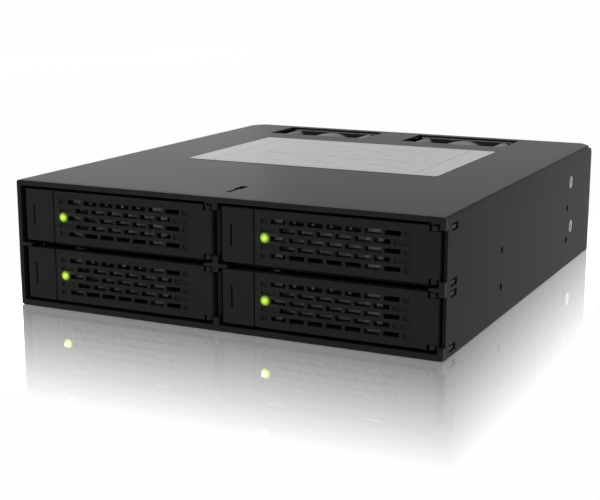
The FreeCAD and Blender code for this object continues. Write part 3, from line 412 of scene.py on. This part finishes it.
def dip_painted_steel():
    # Electro-dipped sheet: a thin black film, a little glossier than powder, with faint rolling
    # lines of the sheet showing through.
    material, tree, shader, place = start("Dip painted steel", Specular_IOR_Level=0.12)
    lines = add(tree, "ShaderNodeMapping", {"Vector": place, "Scale": (1, 0.04, 1)})
    # Rolling lines are 0.1 mm apart and drawn at 0.5
    roll = add(tree, "ShaderNodeTexNoise", {"Vector": lines.outputs["Vector"], "Scale": per_metre(0.5),
                                            "Detail": 2.0})
    tone = add(tree, "ShaderNodeMix", {0: roll.outputs["Fac"], 6: linear("#131416"), 7: linear("#1D1E20")},
               data_type="RGBA")
    rough = add(tree, "ShaderNodeMapRange", {"Value": roll.outputs["Fac"], "To Min": 0.3, "To Max": 0.45})
    worn = add(tree, "ShaderNodeBevel", {"Radius": 0.12 * MM}, samples=4)
    rise = add(tree, "ShaderNodeBump", {"Strength": 0.3, "Distance": 0.01 * MM, "Height": roll.outputs["Fac"],
                                        "Normal": worn.outputs["Normal"]})
    join(tree, shader, {"Base Color": tone.outputs[2], "Roughness": rough.outputs["Result"],
                        "Normal": rise.outputs["Normal"]})
    return material


def zinc_plated_sheet():
    # Electrogalvanised sheet: soft even grey metal, with fine lines along the rolling direction.
    material, tree, shader, place = start("Zinc plated sheet", Metallic=1.0)
    lines = add(tree, "ShaderNodeMapping", {"Vector": place, "Scale": (0.05, 1, 1)})
    # Rolling lines are 0.05 mm apart and drawn at 0.4; the crystal clouds are some 6 mm across
    roll = add(tree, "ShaderNodeTexNoise", {"Vector": lines.outputs["Vector"], "Scale": per_metre(0.4),
                                            "Detail": 3.0})
    cloud = add(tree, "ShaderNodeTexNoise", {"Vector": place, "Scale": per_metre(6), "Detail": 3.0})
    tone = add(tree, "ShaderNodeMix", {0: cloud.outputs["Fac"], 6: linear("#8D8F8E"), 7: linear("#A9ABAA")},
               data_type="RGBA")
    rough = add(tree, "ShaderNodeMapRange", {"Value": roll.outputs["Fac"], "To Min": 0.28, "To Max": 0.46})
    rise = add(tree, "ShaderNodeBump", {"Strength": 0.3, "Distance": 0.01 * MM,
                                        "Height": roll.outputs["Fac"]})
    join(tree, shader, {"Base Color": tone.outputs[2], "Roughness": rough.outputs["Result"],
                        "Normal": rise.outputs["Normal"]})
    return material


def chromated_guard():
    # Zinc plated sheet, clear chromated and bent into the guard behind the slots. Its colour is painted light
    # and shade by depth: the raised posts close behind the slots are drawn pale and satin as painted light,
    # and the band that is set back between them is drawn as a darker, more metallic grey as painted shade.
    material, tree, shader, place = start("Chromated zinc guard", Specular_IOR_Level=0.3)
    split = add(tree, "ShaderNodeSeparateXYZ", {"Vector": place})
    # The posts stand 4.2 mm behind the front and the band 7 mm, and the painted shade deepens between them
    post, band = (4.8 - HALF_DEPTH) * MM, (6.2 - HALF_DEPTH) * MM
    back = add(tree, "ShaderNodeMapRange", {"Value": split.outputs["Y"], "From Min": post, "From Max": band})
    # Brushing marks are 0.1 mm apart and drawn at 0.4, and the chromate's clouds are some 4 mm across
    lines = add(tree, "ShaderNodeMapping", {"Vector": place, "Scale": (0.05, 1, 1)})
    brush = add(tree, "ShaderNodeTexNoise", {"Vector": lines.outputs["Vector"], "Scale": per_metre(0.4),
                                             "Detail": 3.0})
    cloud = add(tree, "ShaderNodeTexNoise", {"Vector": place, "Scale": per_metre(4), "Detail": 2.0})
    painted_light_posts = add(tree, "ShaderNodeMix", {0: brush.outputs["Fac"], 6: linear("#BEBFBD"), 7: linear("#E0E1DF")},
               data_type="RGBA")
    painted_shade_band = add(tree, "ShaderNodeMix", {0: cloud.outputs["Fac"], 6: linear("#6F7171"), 7: linear("#8B8D8C")},
               data_type="RGBA")
    # Painted light and shade: the pale tone where the guard stands near the slots, the darker one where it is
    # set back
    tone = add(tree, "ShaderNodeMix", {0: back.outputs["Result"], 6: painted_light_posts.outputs[2], 7: painted_shade_band.outputs[2]},
               data_type="RGBA")
    metal = add(tree, "ShaderNodeMapRange", {"Value": back.outputs["Result"], "To Min": 0.1, "To Max": 0.9})
    rough = add(tree, "ShaderNodeMapRange", {"Value": brush.outputs["Fac"], "To Min": 0.3, "To Max": 0.5})
    join(tree, shader, {"Base Color": tone.outputs[2], "Metallic": metal.outputs["Result"],
                        "Roughness": rough.outputs["Result"]})
    return material


def spring_steel():
    # Hard drawn stainless wire and strip: bright, slightly warm metal with fine drawing lines.
    material, tree, shader, place = start("Drawn spring steel", Metallic=1.0)
    # Drawing lines are 0.03 mm apart and drawn at 0.2
    lines = add(tree, "ShaderNodeTexNoise", {"Vector": place, "Scale": per_metre(0.2), "Detail": 2.0})
    tone = add(tree, "ShaderNodeMix", {0: lines.outputs["Fac"], 6: linear("#99968F"), 7: linear("#B9B6AE")},
               data_type="RGBA")
    rough = add(tree, "ShaderNodeMapRange", {"Value": lines.outputs["Fac"], "To Min": 0.18, "To Max": 0.34})
    join(tree, shader, {"Base Color": tone.outputs[2], "Roughness": rough.outputs["Result"]})
    return material


def zinc_plated_screws():
    # Bright zinc on headed steel: pale bluish grey, satin, with small dull patches from tumbling.
    material, tree, shader, place = start("Bright zinc plate", Metallic=1.0)
    # Tumbling marks are 0.1 to 0.5 mm long
    marks = add(tree, "ShaderNodeTexNoise", {"Vector": place, "Scale": per_metre(0.5), "Detail": 4.0})
    tone = add(tree, "ShaderNodeMix", {0: marks.outputs["Fac"], 6: linear("#9A9DA1"), 7: linear("#C4C7CA")},
               data_type="RGBA")
    rough = add(tree, "ShaderNodeMapRange", {"Value": marks.outputs["Fac"], "To Min": 0.22, "To Max": 0.48})
    rise = add(tree, "ShaderNodeBump", {"Strength": 0.25, "Distance": 0.02 * MM,
                                        "Height": marks.outputs["Fac"]})
    join(tree, shader, {"Base Color": tone.outputs[2], "Roughness": rough.outputs["Result"],
                        "Normal": rise.outputs["Normal"]})
    return material


def aluminium_rivet():
    # Blind rivets of drawn aluminium, headed cold: soft grey metal, with the die's fine marks.
    material, tree, shader, place = start("Drawn aluminium rivet", Metallic=1.0)
    # Die marks are 0.1 mm apart, and handling marks some 0.6 mm long
    marks = add(tree, "ShaderNodeTexNoise", {"Vector": place, "Scale": per_metre(0.6), "Detail": 3.0})
    die = add(tree, "ShaderNodeTexNoise", {"Vector": place, "Scale": per_metre(0.1), "Detail": 1.0})
    tone = add(tree, "ShaderNodeMix", {0: marks.outputs["Fac"], 6: linear("#7E8081"), 7: linear("#A4A6A7")},
               data_type="RGBA")
    rough = add(tree, "ShaderNodeMapRange", {"Value": marks.outputs["Fac"], "To Min": 0.3, "To Max": 0.5})
    rise = add(tree, "ShaderNodeBump", {"Strength": 0.3, "Distance": 0.01 * MM, "Height": die.outputs["Fac"]})
    join(tree, shader, {"Base Color": tone.outputs[2], "Roughness": rough.outputs["Result"],
                        "Normal": rise.outputs["Normal"]})
    return material


def solder_mask():
    # Glass epoxy board under green solder mask: copper runs show as paler lines, with tinned vias.
    material, tree, shader, place = start("Solder masked board", Roughness=0.32)
    flat = add(tree, "ShaderNodeMapping", {"Vector": place, "Rotation": (math.pi / 2, 0, 0)})
    # Tracks 0.4 mm wide and 2.54 mm apart, and vias 0.6 mm across on a 5.08 mm grid
    runs = add(tree, "ShaderNodeTexBrick", {"Vector": flat.outputs["Vector"], "Scale": per_metre(10.16),
                                            "Mortar Size": 0.02, "Mortar Smooth": 0.1, "Color1": (0, 0, 0, 1),
                                            "Color2": (0, 0, 0, 1), "Mortar": (1, 1, 1, 1)})
    dots = add(tree, "ShaderNodeTexVoronoi", {"Vector": place, "Scale": per_metre(5.08), "Randomness": 0.35})
    via = add(tree, "ShaderNodeMapRange", {"Value": dots.outputs["Distance"], "From Min": 0.05,
                                           "From Max": 0.07, "To Min": 1.0, "To Max": 0.0})
    mask = add(tree, "ShaderNodeMix", {0: runs.outputs["Color"], 6: linear("#0E3A26"), 7: linear("#1C5A3A")},
               data_type="RGBA")
    tone = add(tree, "ShaderNodeMix", {0: via.outputs["Result"], 6: mask.outputs[2], 7: linear("#B4B0A0")},
               data_type="RGBA")
    rise = add(tree, "ShaderNodeBump", {"Strength": 0.5, "Distance": 0.03 * MM,
                                        "Height": runs.outputs["Color"]})
    join(tree, shader, {"Base Color": tone.outputs[2], "Metallic": via.outputs["Result"],
                        "Normal": rise.outputs["Normal"]})
    return material


def glass_filled_nylon():
    # Moulded connector bodies: black nylon with glass fibre, which gives dull swirls along the flow.
    material, tree, shader, place = start("Glass filled nylon", Specular_IOR_Level=0.3)
    # Fibre swirls are 1 to 3 mm long
    swirl = add(tree, "ShaderNodeTexNoise", {"Vector": place, "Scale": per_metre(2), "Detail": 4.0,
                                             "Distortion": 1.5})
    tone = add(tree, "ShaderNodeMix", {0: swirl.outputs["Fac"], 6: linear("#141415"), 7: linear("#242426")},
               data_type="RGBA")
    rough = add(tree, "ShaderNodeMapRange", {"Value": swirl.outputs["Fac"], "To Min": 0.38, "To Max": 0.62})
    join(tree, shader, {"Base Color": tone.outputs[2], "Roughness": rough.outputs["Result"]})
    return material


def moulded_pbt():
    # PBT fan frame and blades: black with a satin skin, glossier than the front.
    material, tree, shader, place = start("Moulded PBT", Specular_IOR_Level=0.3)
    # Flow marks are some 8 mm long, and the skin's grain of 0.05 mm is drawn at 0.4
    flow = add(tree, "ShaderNodeTexNoise", {"Vector": place, "Scale": per_metre(8), "Detail": 3.0,
                                            "Distortion": 0.6})
    grain = add(tree, "ShaderNodeTexNoise", {"Vector": place, "Scale": per_metre(0.4), "Detail": 2.0})
    tone = add(tree, "ShaderNodeMix", {0: flow.outputs["Fac"], 6: linear("#161718"), 7: linear("#202122")},
               data_type="RGBA")
    rough = add(tree, "ShaderNodeMapRange", {"Value": flow.outputs["Fac"], "To Min": 0.3, "To Max": 0.44})
    worn = add(tree, "ShaderNodeBevel", {"Radius": 0.2 * MM}, samples=4)
    rise = add(tree, "ShaderNodeBump", {"Strength": 0.3, "Distance": 0.01 * MM,
                                        "Height": grain.outputs["Fac"], "Normal": worn.outputs["Normal"]})
    join(tree, shader, {"Base Color": tone.outputs[2], "Roughness": rough.outputs["Result"],
                        "Normal": rise.outputs["Normal"]})
    return material


def clear_acrylic():
    # The light pipe behind the lens: clear moulded acrylic, a pale bar with its surroundings in it.
    material, tree, shader, place = start("Clear acrylic", Roughness=0.12, IOR=1.49, Transmission_Weight=0.8)
    # Flow lines some 3 mm apart
    flow = add(tree, "ShaderNodeTexNoise", {"Vector": place, "Scale": per_metre(3), "Detail": 2.0})
    tone = add(tree, "ShaderNodeMix", {0: flow.outputs["Fac"], 6: linear("#DCE6CC"), 7: linear("#EEF4E2")},
               data_type="RGBA")
    join(tree, shader, {"Base Color": tone.outputs[2]})
    return material


def lit_lens():
    # Frosted acrylic lit from behind: yellow-green, whitest in the middle and deeper at the rim.
    material, tree, shader, place = start("Lit frosted acrylic", Roughness=0.4, IOR=1.49,
                                          Specular_IOR_Level=0.2, Emission_Strength=0.9)
    spot = add(tree, "ShaderNodeAttribute", attribute_name="radial")
    # The frosting's grain is 0.1 mm and drawn at 0.3
    frost = add(tree, "ShaderNodeTexNoise", {"Vector": place, "Scale": per_metre(0.3), "Detail": 2.0})
    core = add(tree, "ShaderNodeMapRange", {"Value": spot.outputs["Fac"], "From Min": 0.1, "From Max": 0.62})
    rim = add(tree, "ShaderNodeMapRange", {"Value": spot.outputs["Fac"], "From Min": 0.55, "From Max": 1.0})
    glow = add(tree, "ShaderNodeMix", {0: core.outputs["Result"], 6: linear("#D2F85E"), 7: linear("#93B430")},
               data_type="RGBA")
    edge = add(tree, "ShaderNodeMix", {0: rim.outputs["Result"], 6: glow.outputs[2], 7: linear("#46541C")},
               data_type="RGBA")
    body = add(tree, "ShaderNodeMix", {0: frost.outputs["Fac"], 6: linear("#26330E"), 7: linear("#324214")},
               data_type="RGBA")
    join(tree, shader, {"Base Color": body.outputs[2], "Emission Color": edge.outputs[2]})
    return material


def printed_film():
    # Satin polyester label: pale silvery grey, with a thin printed frame and faint ruled lines, and
    # otherwise blank.
    material, tree, shader, place = start("Polyester label film", Specular_IOR_Level=0.3)
    split = add(tree, "ShaderNodeSeparateXYZ", {"Vector": place})
    # The film's fibres of 0.1 mm are drawn at 0.6, and its slight ripple is some 15 mm long
    fibre = add(tree, "ShaderNodeTexNoise", {"Vector": place, "Scale": per_metre(0.6), "Detail": 3.0})
    ripple = add(tree, "ShaderNodeTexNoise", {"Vector": place, "Scale": per_metre(15), "Detail": 1.0})
    tone = add(tree, "ShaderNodeMix", {0: fibre.outputs["Fac"], 6: linear("#A2A3A3"), 7: linear("#B0B1B1")},
               data_type="RGBA")
    # Frame line 0.4 mm wide, some 9 mm inside the film's ends and 3 mm inside its long sides
    beyond = []
    for axis, middle, half in (("X", -0.75, 38.25), ("Y", 13.7, 28.5)):
        off = add(tree, "ShaderNodeMath", {0: split.outputs[axis], 1: middle * MM}, operation="SUBTRACT")
        far = add(tree, "ShaderNodeMath", {0: off.outputs[0]}, operation="ABSOLUTE")
        past = add(tree, "ShaderNodeMath", {0: far.outputs[0], 1: half * MM}, operation="SUBTRACT")
        beyond.append(past.outputs[0])
    outside = add(tree, "ShaderNodeMath", {0: beyond[0], 1: beyond[1]}, operation="MAXIMUM")
    gap = add(tree, "ShaderNodeMath", {0: outside.outputs[0]}, operation="ABSOLUTE")
    frame_line = add(tree, "ShaderNodeMath", {0: gap.outputs[0], 1: 0.2 * MM}, operation="LESS_THAN")
    # Plain ruled lines 1.1 mm thick and 4.4 mm apart, inside the frame, in uneven dashes some 9 mm long
    rule = add(tree, "ShaderNodeMath", {0: split.outputs["Y"], 1: 4.4 * MM, 2: 0.0}, operation="WRAP")
    thick = add(tree, "ShaderNodeMath", {0: rule.outputs[0], 1: 1.1 * MM}, operation="LESS_THAN")
    inner = add(tree, "ShaderNodeMath", {0: outside.outputs[0], 1: -2.5 * MM}, operation="LESS_THAN")
    long_way = add(tree, "ShaderNodeMapping", {"Vector": place, "Scale": (1, 6, 1)})
    dash = add(tree, "ShaderNodeTexNoise", {"Vector": long_way.outputs["Vector"], "Scale": per_metre(9),
                                            "Detail": 5.0})
    broken = add(tree, "ShaderNodeMapRange", {"Value": dash.outputs["Fac"], "From Min": 0.42, "From Max": 0.6,
                                              "To Max": 0.75})
    ruled = add(tree, "ShaderNodeMath", {0: thick.outputs[0], 1: inner.outputs[0]}, operation="MULTIPLY")
    shade = add(tree, "ShaderNodeMath", {0: ruled.outputs[0], 1: broken.outputs["Result"]},
                operation="MULTIPLY")
    printed = add(tree, "ShaderNodeMath", {0: frame_line.outputs[0], 1: shade.outputs[0]},
                  operation="MAXIMUM")
    ink = add(tree, "ShaderNodeMix", {0: printed.outputs[0], 6: tone.outputs[2], 7: linear("#6C6E6F")},
              data_type="RGBA")
    rough = add(tree, "ShaderNodeMapRange", {"Value": fibre.outputs["Fac"], "To Min": 0.35, "To Max": 0.5})
    rise = add(tree, "ShaderNodeBump", {"Strength": 0.3, "Distance": 0.05 * MM,
                                        "Height": ripple.outputs["Fac"]})
    join(tree, shader, {"Base Color": ink.outputs[2], "Roughness": rough.outputs["Result"],
                        "Normal": rise.outputs["Normal"]})
    return material


def lit_epoxy():
    # The indicator chip on the board: milky epoxy, lit yellow-green.
    material, tree, shader, place = start("Lit epoxy chip", Roughness=0.35, Emission_Strength=0.3)
    # Cloudy filler some 0.5 mm across
    cloud = add(tree, "ShaderNodeTexNoise", {"Vector": place, "Scale": per_metre(0.5), "Detail": 2.0})
    tone = add(tree, "ShaderNodeMix", {0: cloud.outputs["Fac"], 6: linear("#A8CF5A"), 7: linear("#C6E486")},
               data_type="RGBA")
    join(tree, shader, {"Base Color": tone.outputs[2], "Emission Color": tone.outputs[2]})
    return material


def gold_plate():
    # Gold flash over nickel on contacts: warm and bright, rubbed duller along the wipe.
    material, tree, shader, place = start("Gold flashed contact", Metallic=1.0)
    wipe = add(tree, "ShaderNodeMapping", {"Vector": place, "Scale": (1, 0.1, 1)})
    # Wipe marks are 0.1 mm wide and ten times as long
    marks = add(tree, "ShaderNodeTexNoise", {"Vector": wipe.outputs["Vector"], "Scale": per_metre(0.1),
                                             "Detail": 2.0})
    tone = add(tree, "ShaderNodeMix", {0: marks.outputs["Fac"], 6: linear("#C9A24A"), 7: linear("#E6C877")},
               data_type="RGBA")
    rough = add(tree, "ShaderNodeMapRange", {"Value": marks.outputs["Fac"], "To Min": 0.18, "To Max": 0.34})
    join(tree, shader, {"Base Color": tone.outputs[2], "Roughness": rough.outputs["Result"]})
    return material


# ---------------------------------------------------------------- lamps
def lamp(name, place, size, power, colour=None):
    """A lamp, placed from the middle of the underside: a square soft box that looks at the middle of
    the cage, or a small ball of coloured light."""
    data = bpy.data.lights.new(name, "POINT" if colour else "AREA")
    data.energy = power
    here = Vector(place) * MM
    stand = bpy.data.objects.new(name, data)
    bpy.context.collection.objects.link(stand)
    stand.location = here
    if colour:
        data.shadow_soft_size = size / 2 * MM
        data.color = linear(colour)[:3]
    else:
        data.size = size * MM
        stand.rotation_euler = (here - Vector(AIM) * MM).to_track_quat("Z", "Y").to_euler()
    return stand


# ---------------------------------------------------------------- the CAD nodes' finishes
COAT = powder_coated_steel()
ABS = spark_eroded_abs()
DIP = dip_painted_steel()
ZINC = zinc_plated_sheet()
GUARD = chromated_guard()
SPRING = spring_steel()
SCREW = zinc_plated_screws()
RIVET = aluminium_rivet()
BOARD = solder_mask()
NYLON = glass_filled_nylon()
PBT = moulded_pbt()
PIPE = clear_acrylic()
LENS = lit_lens()
FILM = printed_film()
CHIP = lit_epoxy()
GOLD = gold_plate()

# A node takes the finish of the first key that its name starts with
FINISH = {
    "outer_shell": COAT, "bottom_plate": COAT, "rear_panel": COAT, "front_bezel": ABS,
    "center_wall": ZINC, "shelf_left": ZINC, "shelf_right": ZINC,
    "backplane_board": BOARD, "drive_connectors": NYLON, "sata_ports": NYLON, "power_ports": NYLON,
    "bay_leds": CHIP, "board_standoffs": SCREW, "board_screws": SCREW, "case_rivets": RIVET,
    "fan_screws": SCREW, "fan_housing": PBT, "fan_rotor": PBT,
    "top_label": FILM, "speed_switch_body": NYLON, "speed_switch_knob": ABS,
    "tray_frame": DIP, "tray_screen": GUARD, "lever_door": ABS, "release_button": ABS,
    "hinge_pin": SPRING, "lever_spring": SPRING, "button_spring": SPRING, "light_pipe": PIPE,
}
for name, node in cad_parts.items():
    finish = next(FINISH[key] for key in FINISH if name.startswith(key))
    if not node.material_slots:
        node.data.materials.append(finish)
    for part_slot in node.material_slots:
        part_slot.material = finish

# ---------------------------------------------------------------- fine pieces on the cage
rivets = [rivet(side, y, z) for side in (-1, 1) for y, z in RIVETS]
heads = build("rivets", rivets, RIVET, "cage")
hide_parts("case_rivets")

fan_holes = [(x + FAN_HOLE_OUT * across, CAGE_HEIGHT / 2 + FAN_HOLE_OUT * up)
             for x in FAN_X for across in (-1, 1) for up in (-1, 1)]
fan_screws = [cross_screw((x, FAN_FACE, z), (0, 1, 0), *FAN_SCREW) for x, z in fan_holes]
fan_fixings = build("fan_fixings", fan_screws, SCREW, "cage")
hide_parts("fan_screws")

board_screws = [cross_screw((x, BOARD_FACE, z), (0, -1, 0), *BOARD_SCREW) for x, z in STANDOFFS]
board_fixings = build("board_fixings", board_screws, SCREW, "cage")
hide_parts("board_screws")

first_y, first_z = SIDE_HOLE_FIRST
pitch_y, pitch_z = SIDE_HOLE_PITCH
side_holes = [(first_y + pitch_y * column, first_z + pitch_z * row) for row in (0, 1) for column in (0, 1)]
threads = [thread(side, y, z) for side in (-1, 1) for y, z in side_holes]
build("side_threads", threads, DIP, "cage")

drive_contacts = [drive_contact(tray_x + RECEPTACLE_X + first + CONTACT_PITCH * i, tray_z)
                  for tray_x, tray_z in TRAYS for first, number in RECEPTACLE_ROWS for i in range(number)]
build("drive_contacts", drive_contacts, GOLD, "cage")

port_contacts = [port_contact(x, CAGE_HEIGHT / 2 + CONTACT_PITCH * (i - (number - 1) / 2))
                 for ports, number in PORT_ROWS for x in ports for i in range(number)]
build("port_contacts", port_contacts, GOLD, "cage")

# ---------------------------------------------------------------- fine pieces on each tray
for number, (tray_x, tray_z) in enumerate(TRAYS, 1):
    flat, pips = strip(tray_x, tray_z)
    build("guard_strip_%d" % number, [flat], NYLON, "tray_%d" % number)
    # The pips stand in front of the posts' depth, so the guard's finish gives them its pale painted light
    build("guard_pips_%d" % number, pips, GUARD, "tray_%d" % number)

    dome = lens_dome(tray_x, tray_z)
    share = np.linalg.norm(dome - dome[0, 0], axis=-1).reshape(-1) / LENS_R
    build("lens_%d" % number, [dome], LENS, "tray_%d" % number, radial=np.clip(share, 0, 1))
    before_lens = (tray_x + LENS_X, -GLOW_AHEAD - HALF_DEPTH, tray_z + MID)
    glow = lamp("lens_glow_%d" % number, before_lens, 0.8, 0.0004, "#B4E040")
    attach(glow, "tray_%d" % number)

    coil = build("return_spring_%d" % number, [spring_coil(tray_x, tray_z)], SPRING, None)
    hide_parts("button_spring_%d" % number)
    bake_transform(coil)


# ---------------------------------------------------------------- floor, light and camera
def seen_rays(tree, path):
    """1 for what the camera sees straight, in metal or through glass, and 0 for light on objects."""
    seen = add(tree, "ShaderNodeMath", {0: path.outputs["Is Camera Ray"], 1: path.outputs["Is Glossy Ray"]},
               operation="ADD")
    return add(tree, "ShaderNodeMath", {0: seen.outputs[0], 1: path.outputs["Is Transmission Ray"]},
               operation="ADD", use_clamp=True)


def polished_floor():
    # Plain white floor, polished close to the object: a mirror image that is strongest where the
    # object stands and fades out in front of it and beside it.
    material = bpy.data.materials.new("Polished white floor")
    material.use_nodes = True
    tree = material.node_tree
    tree.nodes.clear()
    place = add(tree, "ShaderNodeTexCoord").outputs["Object"]
    split = add(tree, "ShaderNodeSeparateXYZ", {"Vector": place})
    away = {}
    for axis, edge in (("X", HALF_WIDTH), ("Y", HALF_DEPTH)):
        size = add(tree, "ShaderNodeMath", {0: split.outputs[axis]}, operation="ABSOLUTE")
        past = add(tree, "ShaderNodeMath", {0: size.outputs[0], 1: edge * MM}, operation="SUBTRACT")
        away[axis] = past.outputs[0]
    run = {"Value": split.outputs["Y"], "From Min": -HALF_DEPTH * MM, "From Max": HALF_DEPTH * MM}
    near, far = MIRROR_BESIDE
    reach = add(tree, "ShaderNodeMapRange", {**run, "To Min": near * MM, "To Max": far * MM})
    front = add(tree, "ShaderNodeMath", {0: away["Y"], 1: MIRROR_AHEAD * MM}, operation="DIVIDE")
    side = add(tree, "ShaderNodeMath", {0: away["X"], 1: reach.outputs["Result"]}, operation="DIVIDE")
    share = add(tree, "ShaderNodeMath", {0: front.outputs[0], 1: side.outputs[0]}, operation="MAXIMUM")
    left = add(tree, "ShaderNodeMath", {0: 1.0, 1: share.outputs[0]}, operation="SUBTRACT", use_clamp=True)
    peak = add(tree, "ShaderNodeMapRange", {**run, "To Min": MIRROR_PEAK[0], "To Max": MIRROR_PEAK[1]})
    shown = add(tree, "ShaderNodeMath", {0: left.outputs[0], 1: peak.outputs["Result"]}, operation="MULTIPLY")
    clear = add(tree, "ShaderNodeMath", {0: 1.0, 1: shown.outputs[0]}, operation="SUBTRACT")
    # The power of 2.2 makes the white veil over the mirror thicken evenly to the eye
    veil = add(tree, "ShaderNodeMath", {0: clear.outputs[0], 1: 2.2}, operation="POWER")
    gloss = add(tree, "ShaderNodeMath", {0: 1.0, 1: veil.outputs[0]}, operation="SUBTRACT", use_clamp=True)
    path = add(tree, "ShaderNodeLightPath")
    seen = seen_rays(tree, path)
    # Beneath the cage nothing but real light reaches the floor, so it stays dark there
    outside = add(tree, "ShaderNodeMath", {0: away["X"], 1: away["Y"]}, operation="MAXIMUM")
    open_floor = add(tree, "ShaderNodeMapRange", {"Value": outside.outputs[0], "From Min": -2 * MM,
                                                  "From Max": MM, "To Max": 0.95})
    lit = add(tree, "ShaderNodeMath", {0: seen.outputs[0], 1: open_floor.outputs["Result"]},
              operation="MULTIPLY")
    paint = add(tree, "ShaderNodeBsdfDiffuse", {"Color": linear("#F8F8F8")})
    white = add(tree, "ShaderNodeEmission", {"Color": (1, 1, 1, 1), "Strength": 1.0})
    ground = add(tree, "ShaderNodeMixShader", {0: lit.outputs[0], 1: paint.outputs[0], 2: white.outputs[0]})
    # The mirror image is drawn with more contrast for the camera alone, so that its detail shows
    # through the white veil, and it throws no added light on the object
    deepen = add(tree, "ShaderNodeMapRange", {"Value": path.outputs["Is Camera Ray"], "To Min": 1.0,
                                              "To Max": 2.4})
    mirror = add(tree, "ShaderNodeBsdfGlossy", {"Color": deepen.outputs["Result"], "Roughness": 0.01})
    both = add(tree, "ShaderNodeMixShader", {0: gloss.outputs[0], 1: ground.outputs[0], 2: mirror.outputs[0]})
    add(tree, "ShaderNodeOutputMaterial", {"Surface": both.outputs[0]})
    return material


def lay_floor():
    """A level square 6 m across, 0.05 mm under the cage."""
    step = np.linspace(-3000, 3000, 9)
    across, along = np.meshgrid(step, step + HALF_DEPTH)
    grid = np.stack([across, along, np.full_like(across, -0.05)], -1)
    floor = build("floor", [grid], polished_floor(), None)


def light_studio():
    """A white room: its walls give plain soft light, and are seen white, also in metal and glass."""
    world = bpy.data.worlds.new("studio")
    bpy.context.scene.world = world
    world.use_nodes = True
    tree = world.node_tree
    tree.nodes.clear()
    path = add(tree, "ShaderNodeLightPath")
    seen = seen_rays(tree, path)
    room = add(tree, "ShaderNodeBackground", {"Color": (1, 1, 1, 1), "Strength": 0.85})
    white = add(tree, "ShaderNodeBackground", {"Color": (1, 1, 1, 1), "Strength": 1.0})
    both = add(tree, "ShaderNodeMixShader", {0: seen.outputs[0], 1: room.outputs[0], 2: white.outputs[0]})
    add(tree, "ShaderNodeOutputWorld", {"Surface": both.outputs[0]})
    lamp("soft_box_left", (-620, -420, 420), 420, 0.8)
    lamp("soft_box_rear", (-880, 820, 230), 800, 1.0)


def set_camera():
    """A long lens that looks from the right and from above. Its axes are worked out from the
    direction back to the eye, (sin a cos e, -cos a cos e, sin e)."""
    azimuth, elevation = math.radians(EYE_AZIMUTH), math.radians(EYE_ELEVATION)
    data = bpy.data.cameras.new("camera")
    data.lens = FOCAL_LENGTH
    data.sensor_width = SENSOR_WIDTH
    data.clip_start = 0.01
    camera = bpy.data.objects.new("camera", data)
    bpy.context.collection.objects.link(camera)
    back = Vector((math.sin(azimuth) * math.cos(elevation), -math.cos(azimuth) * math.cos(elevation),
                   math.sin(elevation)))
    right = Vector((0, 0, 1)).cross(back).normalized()
    turn = Matrix((right, back.cross(right), back)).transposed().to_4x4()
    camera.matrix_world = Matrix.Translation(Vector(EYE) * MM) @ turn
    bpy.context.scene.camera = camera


lay_floor()
light_studio()
set_camera()
bpy.context.scene.view_settings.view_transform = "Standard"
